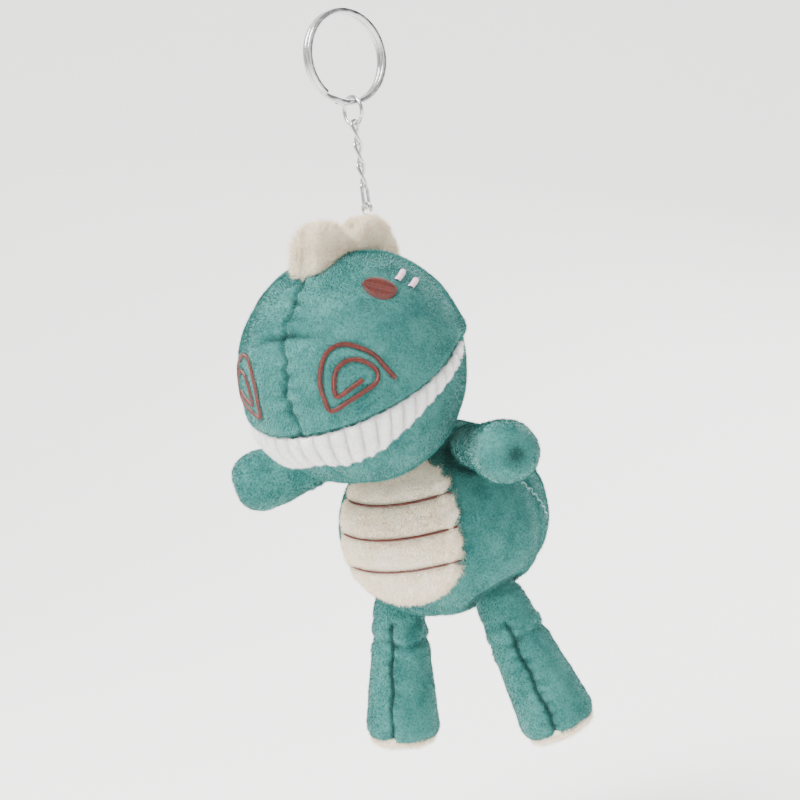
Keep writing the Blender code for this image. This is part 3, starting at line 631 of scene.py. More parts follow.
def headDetail(points):  # fine seams and puckers, in metres along the normal
    local = fromHead(points)
    above = aboveMouth(local)
    front = softStep(-local[:, 1], -34, -6)
    upper = softStep(above, -0.4, 0.8)
    waver = headSeam["waver"] * np.sin(local[:, 2] / 2.3) + 0.3 * np.sin(local[:, 2] / 0.9 + 1.0)
    across = local[:, 0] - waver * upper
    gathered = puckers(across, local[:, 2], headSeam["pucker"], 1.4 * np.sign(across), 3.0)
    lift = -headSeam["depth"] * bump(across, headSeam["width"]) * np.maximum(upper, 0.5)
    lift += headSeam["puckerDepth"] * gathered * upper * (0.4 + 0.6 * front)
    dart = dartLine(local)
    onDart = bump(local[:, 0], headSeam["dartReach"]) * softStep(-local[:, 1], 0, 12)
    lift -= headSeam["dartDepth"] * bump(dart, 0.9) * onDart
    lift += 0.45 * bump(dart - 2.0, 1.5) * onDart + 0.35 * bump(dart + 2.0, 1.5) * onDart
    lift += 0.30 * patternNoise(local, 9.0, 2.0) + 0.16 * patternNoise(local, 3.2, 5.0) * upper
    lift -= mouthSeam["crease"] * bump(above, 0.55)
    lift += 0.45 * bump(above - 1.7, 1.5)  # the cheek rolls over the mouth seam
    return lift * mm


nostrilSet = {"azimuth": 31, "pitch": 0.30,
              "turns": [(11.5, -2.4), (9.0, 1.1), (6.8, 4.3), (3.3, 6.7), (-0.3, 8.0), (-3.4, 7.6), (-5.6, 5.8),
                        (-7.1, 2.4), (-7.7, -1.2), (-7.3, -4.6), (-6.2, -8.0), (-1.1, -6.1), (2.8, -4.4), (6.3, -2.5),
                        (6.7, 0.4), (3.5, 3.3), (0.1, 3.9), (-3.0, 2.2), (-4.3, -1.2), (-4.2, -4.6), (-0.6, -3.2),
                        (2.8, -1.4)]}
eyeSet = {"azimuth": 56.7, "elevation": 41.9, "half": (4.3, 4.0), "tilt": -25.0}
dashSet = {"ends": [((71.5, 44.5), (86.0, 50.6)), ((78.5, 39.3), (90.0, 43.6))], "half": 0.85}


def nostrilPath(side):  # a triangular spiral on the snout, outward and up from its middle in millimetres
    around = 180 / math.pi / headShape["front"]
    return [onHead(side * (nostrilSet["azimuth"] + across * around), up * around)[0]
            for across, up in nostrilSet["turns"]]


nostrilLines = {side: alongPath(nostrilPath(side), nostrilSet["pitch"] * mm) for side in sideWords}
eyeMiddles = {side: onHead(side * eyeSet["azimuth"], eyeSet["elevation"])[0] for side in sideWords}


def makeHead():
    head = quadBall("headSkin", 47)
    setPoints(head, headForm(getPoints(head).copy()))
    smoothed(head, bump(np.clip(torsoField(getPoints(head)) - 1.0, 0, None), 0.25), 6)
    subdivided(head)
    lift = headDetail(getPoints(head))
    pushOut(head, lift)
    # painted shade in the seam valleys, the dart and the mouth crease
    setAttribute(head, "paintedShade", paintedCreaseShade(lift))
    threadNear = nearestTo(getPoints(head), np.concatenate([nostrilLines[side][0] for side in sideWords])) / mm
    eyeNear = np.minimum(*[np.linalg.norm(getPoints(head) - eyeMiddles[side], axis=1) / mm for side in sideWords])
    pushOut(head, (-0.40 * bump(threadNear, 1.1) - 0.4 * bump(eyeNear, 4.6)) * mm)
    local = fromHead(getPoints(head))
    above = aboveMouth(local)
    mask = (threadNear > 0.62) * (eyeNear > 3.9) * (torsoField(getPoints(head)) > headShape["pileGap"])
    mask = mask * (1 - (above < -0.5) * (above > -2.6) * (local[:, 1] < 4))
    fur = growPile(head, "headPile", tealPile, tealPileSet, mask, combDown(getNormals(head)))
    dress(head, fur, tealSkin, "head", "teal_plush", 0.9, "head_side_left", "head_side_right", "jaw_panel",
          "head_stuffing")


makeHead()
print("head made")


# teeth: a ribbed strip under the mouth seam with a pinked edge

def teethElevation(azimuths):  # lower edge of the strip, evened out
    table = np.array(teethSet["edge"])
    return np.mean([np.interp(np.abs(azimuths + shift), table[:, 0], table[:, 1])
                    for shift in np.linspace(-4, 4, 9)], axis=0)


def makeTeeth():
    columns, rows = teethSet["columns"], teethSet["rows"]
    strip = newGrid("teethStrip", columns, rows)
    flat = getPoints(strip)
    along, across = (flat[:, 0] + 1) / 2, (1 - flat[:, 1]) / 2
    azimuths = np.linspace(-teethSet["end"], teethSet["end"], 4 * columns)
    low, high = teethElevation(azimuths), mouthElevation(azimuths) - 0.4
    length = lengthsAlong(onHead(azimuths, (low + high) / 2)) / mm
    stop = along * length[-1]
    azimuth = np.interp(stop, length, azimuths)
    top, bottom = np.interp(stop, length, high), np.interp(stop, length, low)
    tall = (top - bottom) * math.pi / 180 * teethSet["radius"]
    ribs = np.abs(np.sin(stop / teethSet["ribWidth"] * math.pi)) ** 0.55
    zigzag = np.abs((stop / teethSet["pink"]) % 1.0 - 0.5) * 2
    scallop = (teethSet["pinkDepth"] * (zigzag - 0.5) - 0.6 * (1 - ribs)) / tall * np.clip(tall / 4, 0, 1)
    reach = across * (1 + scallop * softStep(across, 0.7, 1.0))
    elevation = top + (bottom - top) * reach
    crown = 1 - np.abs(2 * reach - 1) ** 3
    lift = -0.45 + 1.0 * crown + teethSet["ribRise"] * (ribs - 0.45) * (0.55 + 0.45 * crown)
    lift = lift - 0.2 * softStep(across, 0.9, 1.0) + 0.12 * np.sin(stop / 1.7 + 3 * across)
    setPoints(strip, onHead(azimuth, elevation, lift))
    # painted shade in the grooves between the ribs
    setAttribute(strip, "paintedShade", 0.8 * (1 - ribs))
    thickened(strip, teethSet["wall"])
    normals = getNormals(strip)
    outward = ((getPoints(strip) - headMiddle) * normals).sum(axis=1) > 0
    fur = growPile(strip, "teethPile", ribPile, teethPileSet, outward * 1.0, combDown(normals))
    dress(strip, fur, ribSkin, "head", "ribbed_white", 0.5, "teeth_strip")


makeTeeth()
print("teeth made")


# embroidery: satin stitch made of many small arched threads

def threadShape(sides=4, steps=4):  # one straight thread, 1 long, cut into steps along its length so that stitchRow can arch it
    clearSelection()
    bpy.ops.mesh.primitive_cylinder_add(vertices=sides, radius=1.0, depth=1.0, end_fill_type="NOTHING")
    thread = bpy.context.object
    bpy.ops.object.mode_set(mode="EDIT")
    bpy.ops.mesh.select_all(action="DESELECT")
    bpy.ops.object.mode_set(mode="OBJECT")
    for edge in thread.data.edges:
        ends = [thread.data.vertices[index].co.z for index in edge.vertices]
        edge.select = abs(ends[0] - ends[1]) > 0.5
    bpy.ops.object.mode_set(mode="EDIT")
    bpy.ops.mesh.select_mode(type="EDGE")
    bpy.ops.mesh.subdivide(number_cuts=steps - 1)
    bpy.ops.mesh.select_all(action="SELECT")
    bpy.ops.object.mode_set(mode="OBJECT")
    points = getPoints(thread)
    faces = [list(polygon.vertices) for polygon in thread.data.polygons]
    clearSelection()
    bpy.data.objects.remove(thread, do_unlink=True)
    return points, faces


threadPoints, threadFaces = threadShape()


def stitchRow(name, starts, ends, ups, radius, arch):  # copies of the thread from start to end, bowed towards up
    starts, ends, ups = np.array(starts), np.array(ends), np.array(ups)
    length = np.linalg.norm(ends - starts, axis=1)[:, None]
    ahead = (ends - starts) / length
    side = unit(np.cross(ahead, ups))
    ups = np.cross(side, ahead)
    share = threadPoints[:, 2] + 0.5
    rise = 1 - (2 * share - 1) ** 2
    taper = np.sqrt(np.clip(1 - (2 * share - 1) ** 2 * 0.75, 0.05, 1)) * radius
    points = (starts[:, None] + ahead[:, None] * (length * share)[:, :, None]
              + side[:, None] * (threadPoints[:, 0] * taper)[None, :, None]
              + ups[:, None] * (threadPoints[:, 1] * taper + rise * arch)[None, :, None])
    count, size = len(starts), len(threadPoints)
    faces = [[vertex + size * index for vertex in face] for index in range(count) for face in threadFaces]
    mesh = bpy.data.meshes.new(name)
    mesh.from_pydata(points.reshape(-1, 3).tolist(), [], faces)
    row = newObject(name, mesh)
    shades = np.random.default_rng(count).uniform(0.55, 1.35, count)
    setAttribute(row, "shade", np.repeat(shades, size))
    return shadedSmooth(facedOut(row))


def makeNostril(side, word):
    places, ahead = nostrilLines[side]
    ups = unit(places - headMiddle)
    draws = np.random.default_rng(20 + side)
    half = (0.72 + draws.uniform(-0.06, 0.06, len(places)))[:, None] * mm
    slant = (np.cross(ahead, ups) * 0.82 + ahead * 0.35) * half
    places = places + ups * 0.05 * mm
    row = stitchRow("nostril" + word.capitalize(), places - slant, places + slant, ups, 0.20 * mm, 0.42 * mm)
    place(row, brownThread, "head", "brown_thread", "nostril_" + word)


def makeEye(side, word):
    middle = eyeMiddles[side]
    up = (middle - headMiddle) / np.linalg.norm(middle - headMiddle)
    azimuth, tilt = math.radians(side * eyeSet["azimuth"]), math.radians(side * eyeSet["tilt"])
    east = np.array([math.cos(azimuth), math.sin(azimuth), 0.0])
    north = np.cross(up, east)
    north = north if north[2] > 0 else -north
    right = east * math.cos(tilt) + north * math.sin(tilt)
    ahead = north * math.cos(tilt) - east * math.sin(tilt)
    starts, ends = [], []
    wide, high = eyeSet["half"]
    for pitch, slant in ((0.34, 0.0), (0.30, 0.35)):  # a layer of whole threads under a layer of slanted halves
        for across in np.arange(-wide + 0.1, wide, pitch):
            tall = high * math.sqrt(max(0.02, 1 - (across / wide) ** 2))
            for low, top in ((-tall, 0.1 * tall), (-0.1 * tall, tall)) if slant else ((-tall, tall),):
                ends.append(middle + right * (across + slant) * mm + ahead * top * mm)
                starts.append(middle + right * (across - slant) * mm + ahead * low * mm)
    starts, ends = (unit(np.array(points) - headMiddle) for points in (starts, ends))
    starts, ends = (headMiddle + rows * (headRadius(rows) - 0.35)[:, None] * mm for rows in (starts, ends))
    row = stitchRow("eye" + word.capitalize(), starts, ends, [up] * len(starts), 0.21 * mm, 0.62 * mm)
    place(row, brownThread, "head", "brown_thread", "eye_" + word)


def makeDashes(side, word):
    for number, ends in enumerate(dashSet["ends"], start=1):
        azimuths, elevations = (np.linspace(ends[0][axis], ends[1][axis], 9) for axis in (0, 1))
        places, ahead = alongPath(onHead(side * azimuths, elevations, 0.1), 0.32 * mm)
        ups = unit(places - headMiddle)
        slant = (np.cross(ahead, ups) * 0.9 + ahead * 0.3) * dashSet["half"] * mm
        row = stitchRow("blush%s%d" % (word.capitalize(), number), places - slant, places + slant, ups, 0.2 * mm,
                        0.45 * mm)
        place(row, pinkThread, "head", "pink_thread", "blush_%s_%d" % (word, number))


for side, word in sideWords.items():
    makeNostril(side, word)
    makeEye(side, word)
    makeDashes(side, word)
print("embroidery made")


# crest: two fluffy lobes sewn along the top of the head

crestSet = {"thickness": 9.2, "middle": (2.5, 24.0),
            "outline": [(-15.0, 18), (-16.6, 25), (-15.6, 32.0), (-11.2, 36.2), (-6.0, 35.8), (-0.6, 33.0), (4.0, 32.8),
                        (8.0, 36.0), (12.2, 37.2), (16.0, 35.8), (19.0, 31.8), (21.0, 26), (20.0, 14), (2, 16)]}
crestPileSet = {"density": 17.0, "length": 1.5, "width": 0.085, "lean": 0.3, "ruffle": 1.0, "seed": 21}


def makeCrest():
    crest = quadBall("crestFleece", 31)
    directions = getPoints(crest).copy()
    outline = np.array(crestSet["outline"] + crestSet["outline"][:1])
    places = alongPath(np.column_stack([outline, np.zeros(len(outline))]), 0.4)[0][:, :2] - crestSet["middle"]
    angles = np.arctan2(places[:, 1], places[:, 0])
    order = np.argsort(angles)
    around = np.arctan2(directions[:, 2], directions[:, 1])
    edge = np.interp(around, angles[order], np.linalg.norm(places, axis=1)[order], period=2 * math.pi)
    edge = edge * np.sin(np.clip(np.hypot(directions[:, 1], directions[:, 2]), 0, 1) * math.pi / 2) ** 0.9
    across = np.sign(directions[:, 0]) * np.abs(directions[:, 0]) ** 0.55 * crestSet["thickness"] / 2
    across *= 1 - 0.28 * bump(directions[:, 1] * edge, 3.5) * (directions[:, 2] > 0)
    local = np.column_stack([across, crestSet["middle"][0] + np.cos(around) * edge,
                             crestSet["middle"][1] + np.sin(around) * edge])
    subdivided(setPoints(crest, headMiddle + local * mm))
    local = fromHead(getPoints(crest))
    lift = 0.75 * patternNoise(local, 4.0, 1.0) + 0.45 * patternNoise(local, 1.7, 3.0)
    lift -= 0.9 * bump(local[:, 0], 0.8) * (local[:, 2] > 20)
    pushOut(crest, lift * mm)
    local = fromHead(getPoints(crest))
    shown = np.linalg.norm(local, axis=1) > 29.0
    fur = growPile(crest, "crestPile", creamPile, crestPileSet, shown * 1.0,
                   combDown(getNormals(crest), (0.0, -0.35, 0.9)), 0.85 + 0.55 * softStep(-local[:, 1], -2, 8))
    dress(crest, fur, creamSkin, "head", "cream_fleece", 0.8, "crest_left", "crest_right", "crest_stuffing")


makeCrest()
print("crest made")


# torso

bodySet = {"sideSeam": 5.0, "seamWidth": 0.75, "seamDepth": 1.1, "valley": 4.5, "valleyDepth": 0.8,
           "pucker": 3.3, "puckerDepth": 0.4, "limbCrease": 1.3, "neckRadius": 8.2, "underHead": 26.0}
bellySet = {"halfWidth": 18.4, "halfHeight": 18.6, "rise": 4.7, "lift": 0.8, "stitchDepth": 0.95, "square": 2.3,
            "wall": 0.8, "reach": 26.0, "stitches": [(30, 43), (12.3, 39.5), (-5, 36)]}
bellyPileSet = {"density": 13.0, "length": 0.75, "width": 0.08, "lean": 0.6, "ruffle": 0.55, "seed": 41}
ladderSet = {"azimuth": 90, "top": 22, "step": 2.4, "drift": 1.3, "rungs": 15}
shoulders = {side: joints[word + "_arm_swing"] for side, word in sideWords.items()}
hips = {side: joints[word + "_leg_swing"] for side, word in sideWords.items()}
tailPivot = joints["tail_wag"]


def bellyShare(local):  # 1 on the belly patch's edge
    across = np.abs(local[:, 0] / bellySet["halfWidth"])
    up = np.abs((local[:, 2] - bellySet["rise"]) / bellySet["halfHeight"])
    return (across ** bellySet["square"] + up ** bellySet["square"]) ** (1 / bellySet["square"])


def ladderPath(swing=0.0, lift=0.0):  # down the left side, swung to and fro for the thread
    return [onTorso(ladderSet["azimuth"] + ladderSet["drift"] * step + (swing if step % 2 else -swing),
                    ladderSet["top"] - ladderSet["step"] * step, lift)[0] for step in range(ladderSet["rungs"])]


def makeTorso():
    torso = quadBall("torsoSkin", 39)
    directions = getPoints(torso).copy()
    ahead = directions[:, 1] * torsoShape["side"] - bodySet["sideSeam"]
    lift = -bodySet["valleyDepth"] * bump(ahead, bodySet["valley"])
    setPoints(torso, torsoPlace(directions, lift))
    subdivided(torso)
    points = getPoints(torso)
    local = torsoLocal(points)
    front = local[:, 1] < 0
    sideLine = local[:, 1] - bodySet["sideSeam"] - 0.35 * np.sin(local[:, 2] / 2.1)
    centre = local[:, 0] - 0.3 * np.sin(local[:, 2] / 1.9)
    lift = -bodySet["seamDepth"] * bump(sideLine, bodySet["seamWidth"])
    lift += bodySet["puckerDepth"] * puckers(sideLine, local[:, 2], bodySet["pucker"], 1.5 * np.sign(sideLine), 2.8)
    lift -= bodySet["seamDepth"] * bump(centre, bodySet["seamWidth"]) * front * (bellyShare(local) > 0.97)
    for pivot, radius in [(shoulders[1], 6.0), (shoulders[-1], 6.0), (hips[1], 7.6), (hips[-1], 7.6), (tailPivot, 7.0)]:
        away = np.linalg.norm(points - np.array(pivot), axis=1) / mm
        lift -= bodySet["limbCrease"] * bump(away - radius, 2.2)
    lift -= 0.5 * bump(bellyShare(local) - 1.0, 0.05) * front
    lift += 0.28 * patternNoise(local, 8.0, 7.0) + 0.12 * patternNoise(local, 3.0, 9.0)
    # painted shade in the seams and in the creases round the limbs
    setAttribute(torso, "paintedShade", paintedCreaseShade(lift * mm))
    pushOut(torso, lift * mm)
    points = getPoints(torso)
    local = torsoLocal(points)
    mask = 1.0 - (local[:, 1] < 0) * (bellyShare(local) < 0.97)
    mask *= np.linalg.norm(fromHead(points), axis=1) > bodySet["underHead"]
    mask *= nearestTo(points, ladderPath()) > 0.5 * mm
    fur = growPile(torso, "torsoPile", tealPile, {**tealPileSet, "seed": 31}, mask, combDown(getNormals(torso)))
    dress(torso, fur, tealSkin, "torso", "teal_plush", 0.9, "torso_side_left", "torso_side_right", "torso_back",
          "torso_stuffing")


makeTorso()
clearSelection()
bpy.ops.mesh.primitive_uv_sphere_add(segments=48, ring_count=24, radius=bodySet["neckRadius"] * mm, location=neckPivot)
neckSkin = settleObject(shadedSmooth(bpy.context.object))
neckSkin.name = "neckSkin"
place(neckSkin, tealSkin, "neck", "teal_plush", "neck_stuffing")
print("torso made")


# belly patch, drawn in by three rows of stitches

def stitchLine(elevation, reach, lift=0.0):
    return onTorso(np.linspace(-reach, reach, 60), elevation, lift)


def stitchNear(points):
    return np.min([nearestTo(points, stitchLine(*row)) for row in bellySet["stitches"]], axis=0) / mm


def makeBelly():
    patch = newGrid("bellyPatch", 150, 190)
    flat = getPoints(patch)[:, :2]
    square = np.abs(flat).max(axis=1)
    power = bellySet["square"]
    disc = unit(flat)
    disc /= np.maximum((np.abs(disc) ** power).sum(axis=1) ** (1 / power), 1e-9)[:, None]
    disc *= square[:, None]
    wave = 1 + 0.012 * np.sin(np.arctan2(disc[:, 1], disc[:, 0]) * 31) * softStep(square, 0.8, 1)
    across = disc[:, 0] * bellySet["halfWidth"] * wave
    up = disc[:, 1] * bellySet["halfHeight"] * wave + bellySet["rise"]
    flare = torsoFlare(up)
    inner = np.clip(1 - (across / flare / torsoShape["side"]) ** 2 - (up / torsoShape["height"]) ** 2, 0.0004, 1)
    local = np.column_stack([across, -torsoShape["depth"] * np.sqrt(inner) * flare, up])
    lift = bellySet["lift"] - 1.9 * softStep(square, 0.90, 1.0) + 0.35 * bump(square - 0.88, 0.06)
    local += unit(local / torsoSize ** 2) * lift[:, None]
    points = torsoMiddle + local @ torsoTurn.T * mm
    facedOut(setPoints(patch, points))
    if (getNormals(patch) @ torsoTurn)[:, 1].sum() > 0:
        patch.data.flip_normals()
    near = stitchNear(points)
    local = torsoLocal(points)
    lift = -bellySet["stitchDepth"] * bump(near, 1.1) + 0.30 * bump(near - 3.2, 1.8)
    lift += 0.20 * patternNoise(local, 3.2, 4.0) + 0.12 * patternNoise(local, 1.4, 6.0)
    # painted shade along the stitch grooves and at the patch's tucked edge
    setAttribute(patch, "paintedShade", bump(near, 0.9) + 0.4 * bump(square - 1.0, 0.05))
    pushOut(patch, lift * mm)
    thickened(patch, bellySet["wall"])
    points, normals = getPoints(patch), getNormals(patch)
    local = torsoLocal(points)
    outward = (local / bellySet["reach"] * (normals @ torsoTurn)).sum(axis=1) > 0.2
    fur = growPile(patch, "bellyPile", creamPile, bellyPileSet, outward * (stitchNear(points) > 0.7) * 1.0,
                   combDown(normals, (0.0, 0.0, -1.0)),
                   1 + 1.1 * softStep(bellyShare(local), 0.9, 0.99) * (local[:, 2] < 0))
    dress(patch, fur, creamSkin, "torso", "cream_fleece", 0.5, "belly_patch")


def stitchedLine(name, path, pitch, length, radius, arch, sway, thread, slot, node):
    places, ahead = alongPath(path, pitch * mm)
    ups = places - torsoMiddle
    step = ahead * length / 2 * mm + unit(np.cross(ahead, ups)) * sway * mm
    row = stitchRow(name, places - step, places + step, ups, radius * mm, arch * mm)
    place(row, thread, "torso", slot, node)


makeBelly()
for number, (elevation, reach) in enumerate(bellySet["stitches"], start=1):
    stitchedLine("bellyStitch%d" % number, stitchLine(elevation, reach, 0.55), 0.9, 2.1, 0.30, 0.32, 0.12,
                 brownThread, "brown_thread", "belly_stitch_%d" % number)
stitchedLine("closingStitch", ladderPath(ladderSet["drift"], -0.15), 1.1, 1.3, 0.16, 0.3, 0.0,
             tealThread, "teal_thread", "closing_stitch")
print("belly made")


# limbs: tubes of plush with two seams, drawn from a list of (radius, height) points down the limb

armSet = {"root": 4.8, "tip": 8.0, "seed": 51, "seamEnd": 0.8, "tuft": 1.7, "cuts": 31}
legSet = {"root": 6.4, "foot": 9.8, "round": 3.6, "seed": 61, "seamTurn": {1: 24.0, -1: 14.0}, "cuts": 31,
          "tuft": 0.0, "seamEnd": 9.0}
tailSet = {"root": 6.4, "tip": 3.6, "seed": 71, "seamEnd": 9.0, "tuft": 0.0, "cuts": 23}
limbPileSet = {**tealPileSet, "density": 6.0}
solePileSet = {"density": 9.0, "length": 1.2, "width": 0.085, "lean": 0.3, "ruffle": 0.7}


def arcPoints(centreRadius, centreHeight, radius, start, end, steps=14):
    angles = np.linspace(start, end, steps)
    return list(zip(np.maximum(centreRadius + radius * np.cos(angles), 0), centreHeight + radius * np.sin(angles)))


def limbFrame(pivot, along, seamNormal):
    along = along.normalized()
    across = (seamNormal - along * seamNormal.dot(along)).normalized()
    return np.array((across, along.cross(across), along)), np.array(pivot)


def makeLimb(name, lower, upper, turn, base, cuts):
    # lower and upper are the outline's rounded ends, from the root's pole and to the tip's pole
    limb = dividedCube(name, cuts)
    cube = getPoints(limb)
    flat = np.abs(cube[:, :2]).max(axis=1)
    station = np.where(cube[:, 2] > 0.9999, 2 - flat, np.where(cube[:, 2] < -0.9999, flat - 2, cube[:, 2]))
    radius, height = np.zeros(len(cube)), np.zeros(len(cube))
    for stretch, low, high in ((lower, -2, -1), ([lower[-1], upper[0]], -1, 1), (upper, 1, 2)):
        line = np.array(stretch)
        length = lengthsAlong(line)
        inside = (station >= low) & (station <= high)
        stop = (station[inside] - low) / (high - low) * length[-1]
        radius[inside] = np.interp(stop, length, line[:, 0])
        height[inside] = np.interp(stop, length, line[:, 1])
    wide = np.tan(np.clip(cube[:, :2] / np.maximum(flat, 1e-9)[:, None], -1, 1) * math.pi / 4)
    local = np.column_stack([unit(wide) * radius[:, None], height])
    return subdivided(shadedSmooth(setPoints(limb, base + local @ turn * mm)))


def limbDetail(limb, turn, base, length, settings, shift):
    local = (getPoints(limb) - base) / mm @ turn.T
    down, seamEnd = local[:, 2], settings["seamEnd"] * length
    seam = local[:, 0] - 0.3 * np.sin(down / 1.7 + shift)
    tube = softStep(down, 2, 6) * (1 - softStep(down, 0.6 * seamEnd, seamEnd))
    atTip = bump(np.hypot(local[:, 0], local[:, 1]), 2.8) * (down > length * 0.7)
    lift = 0.38 * puckers(seam, down, 3.1, 1.5 * np.sign(seam) + shift, 2.6) - 1.0 * bump(seam, 0.7)
    lift = (lift - 0.5 * bump(seam, 2.6)) * tube
    lift -= settings["tuft"] * atTip
    folds = np.sin(down * 1.1 + 2.2 * patternNoise(local, 6.0, shift))
    lift += 0.42 * folds * bump(down - settings["root"] - 3, 5.0)
    lift += 0.34 * patternNoise(local, 7.0, 3 + shift) + 0.15 * patternNoise(local, 2.8, 8 + shift)
    # painted shade in the creases and in the dimple at the arm's tip
    setAttribute(limb, "paintedShade", np.maximum(paintedCreaseShade(lift * mm), atTip * (settings["tuft"] > 0)))
    pushOut(limb, lift * mm)


def dressLimb(limb, along, seed):
    outside = torsoField(getPoints(limb)) > 1.0
    fur = growPile(limb, limb.name + "Pile", tealPile, {**limbPileSet, "seed": seed}, outside * 1.0,
                   combDown(getNormals(limb), tuple(along)))
    giveMaterial(limb, tealSkin)
    for piece in (limb, fur):
        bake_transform(piece)


def limbLength(node, pivot, along):
    return float(((getPoints(frame["nodes"][node]) - np.array(pivot)) @ np.array(along)).max()) / mm


def makeStub(name, body, pivot, seamNormal, settings, shift, seed, *nodes):  # a limb with a ball for its tip
    along = (nodeMiddle(nodes[-1]) - pivot).normalized()
    length = limbLength(nodes[0], pivot, along) - settings["tip"]
    turn, base = limbFrame(pivot, along, seamNormal)
    lean = -math.asin((settings["tip"] - settings["root"]) / length)
    lower = arcPoints(0, 0, settings["root"], -math.pi / 2, lean)
    upper = arcPoints(0, length, settings["tip"], lean, math.pi / 2)
    limb = makeLimb(name, lower, upper, turn, base, settings["cuts"])
    limbDetail(limb, turn, base, length, settings, shift)
    dressLimb(limb, along, seed)
    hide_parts(*nodes)


def makeLeg(side, word):
    pivot, node, body = hips[side], "sole_" + word, word + "_leg"
    along = (nodeMiddle(node) - pivot).normalized()
    length = limbLength(node, pivot, along)
    seamTurn = math.radians(legSet["seamTurn"][side])
    turn, base = limbFrame(pivot, along, Vector((math.cos(seamTurn), math.sin(seamTurn), 0)))
    lean = -math.asin((legSet["foot"] - legSet["root"]) / length)
    end = length - 0.9
    lower = arcPoints(0, 0, legSet["root"], -math.pi / 2, lean)
    upper = arcPoints(legSet["foot"] - legSet["round"], end - legSet["round"], legSet["round"], lean, math.pi / 2)
    leg = makeLimb("leg" + word.capitalize(), lower, upper + [(0, end)], turn, base, legSet["cuts"])
    limbDetail(leg, turn, base, length, legSet, 2.0 + side)
    dressLimb(leg, along, legSet["seed"] + side)
    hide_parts(*["leg_%s_%s" % (word, part) for part in ("outer", "inner", "stuffing")])
    sole = quadBall("sole" + word.capitalize(), 23)
    ball = getPoints(sole).copy()
    flat = np.hypot(ball[:, 0], ball[:, 1])
    wide = (legSet["foot"] - 1.3) * np.sin(flat * math.pi / 2) ** 0.8 / np.maximum(flat, 1e-9)
    local = np.column_stack([ball[:, 0] * wide, ball[:, 1] * wide,
                             length - 1.7 + 1.75 * np.sign(ball[:, 2]) * np.abs(ball[:, 2]) ** 0.6])
    facedOut(setPoints(sole, base + local @ turn * mm))
    pushOut(sole, (0.25 * patternNoise(local, 3.0, side) + 0.12 * patternNoise(local, 1.2, 2.0)) * mm)
    fur = growPile(sole, sole.name + "Pile", creamPile, {**solePileSet, "seed": 81 + side},
                   (local[:, 2] > length - 2.0) * 1.0, combDown(getNormals(sole)))
    dress(sole, fur, creamSkin, body, "cream_fleece", 0.6, node)


for side, word in sideWords.items():
    makeStub("arm" + word.capitalize(), word + "_arm", shoulders[side], Vector((0, -1, 0)), armSet, 1.0 + side,
             armSet["seed"] + side, *["arm_%s_%s" % (word, part) for part in ("front", "back", "stuffing")])
    makeLeg(side, word)
makeStub("tail", "tail", tailPivot, Vector((1, 0, 0)), tailSet, 4.0, tailSet["seed"], "tail_left", "tail_right",
         "tail_stuffing")
print("limbs made")


# split ring, chain and eye pin

ringSet = {"band": 1.4, "turnHeight": 1.3, "slit": 0.12, "corner": 0.35, "facing": -18.7, "joggle": -32.0,
           "joggleWidth": 22.0, "steps": 110}
chainSet = {"jumpWire": 0.5, "jumpRadius": 3.65, "jumpOpening": 60.0, "jumpGap": 5.0, "wire": 0.45, "linkWidth": 2.8,
            "endWidth": 2.4, "twist": 90.0, "facing": 116.3, "eyeRadius": 1.3, "eyeFoot": 2.6, "eyeBend": 0.7}


def newCurve(name, points, closed=False, **values):
    line = bpy.data.curves.new(name, "CURVE")
    for key, value in values.items():
        setattr(line, key, value)
    spline = line.splines.new("POLY")
    spline.points.add(len(points) - 1)
    for spot, where in zip(spline.points, points):
        spot.co = (*where, 1.0)
    spline.use_cyclic_u = closed
    return newObject(name, line)


def asMesh(obj):
    pick(obj)
    bpy.ops.object.convert(target="MESH")
    made = editAll(bpy.context.object, bpy.ops.mesh.remove_doubles, threshold=0.002 * mm)
    pick(facedOut(made))
    bpy.ops.object.shade_smooth_by_angle(angle=math.radians(50))
    return made


def makeWire(name, points, radius, body, node, closed=True, sides=4):
    wire = newCurve(name, points, closed, dimensions="3D", bevel_depth=radius, bevel_resolution=sides,
                    use_fill_caps=True)
    place(asMesh(wire), steel, body, "steel", node)


facingRing = math.radians(ringSet["facing"])
ringAxis = Vector((math.cos(facingRing), math.sin(facingRing), 0))
ringTangent = Vector((-math.sin(facingRing), math.cos(facingRing), 0))
ringLow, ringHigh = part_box("split_ring")
ringInner = (ringHigh.z - ringLow.z) / 2 - ringSet["band"] * mm


def makeSplitRing():
    corner, high, wide = ringSet["corner"] * mm, ringSet["turnHeight"] / 2 * mm, ringSet["band"] / 2 * mm
    outline = []
    for middleX, middleY, start in ((wide - corner, high - corner, 0), (corner - wide, high - corner, 90),
                                    (corner - wide, corner - high, 180), (wide - corner, corner - high, 270)):
        for angle in np.radians(start + 30 * np.arange(4)):
            outline.append((middleX + corner * math.cos(angle), middleY + corner * math.sin(angle), 0))
    guide = newCurve("bandOutline", outline, True, dimensions="2D")
    steps = 2 * ringSet["steps"]
    joggle, width = math.radians(ringSet["joggle"]), math.radians(ringSet["joggleWidth"])
    radius, rise = ringInner + ringSet["band"] / 2 * mm, (ringSet["turnHeight"] + ringSet["slit"]) / 2 * mm
    points = []
    for turned in (4 * math.pi - width) * np.arange(steps + 1) / steps:
        angle = joggle + width / 2 + turned
        height = rise * (2 * softStep(turned, 2 * math.pi - width, 2 * math.pi) - 1)
        points.append((radius * math.sin(angle), -radius * math.cos(angle), height))
    ring = newCurve("splitRing", points, dimensions="3D", twist_mode="Z_UP", bevel_mode="OBJECT", bevel_object=guide,
                    use_fill_caps=True)
    turn = Matrix((ringTangent, Vector((0, 0, 1)), ringAxis)).transposed().to_4x4()
    ring.matrix_world = Matrix.Translation((0, 0, -ringInner)) @ turn
    place(settleObject(asMesh(ring)), steel, "key_ring", "steel", "split_ring")
    bpy.data.objects.remove(guide, do_unlink=True)


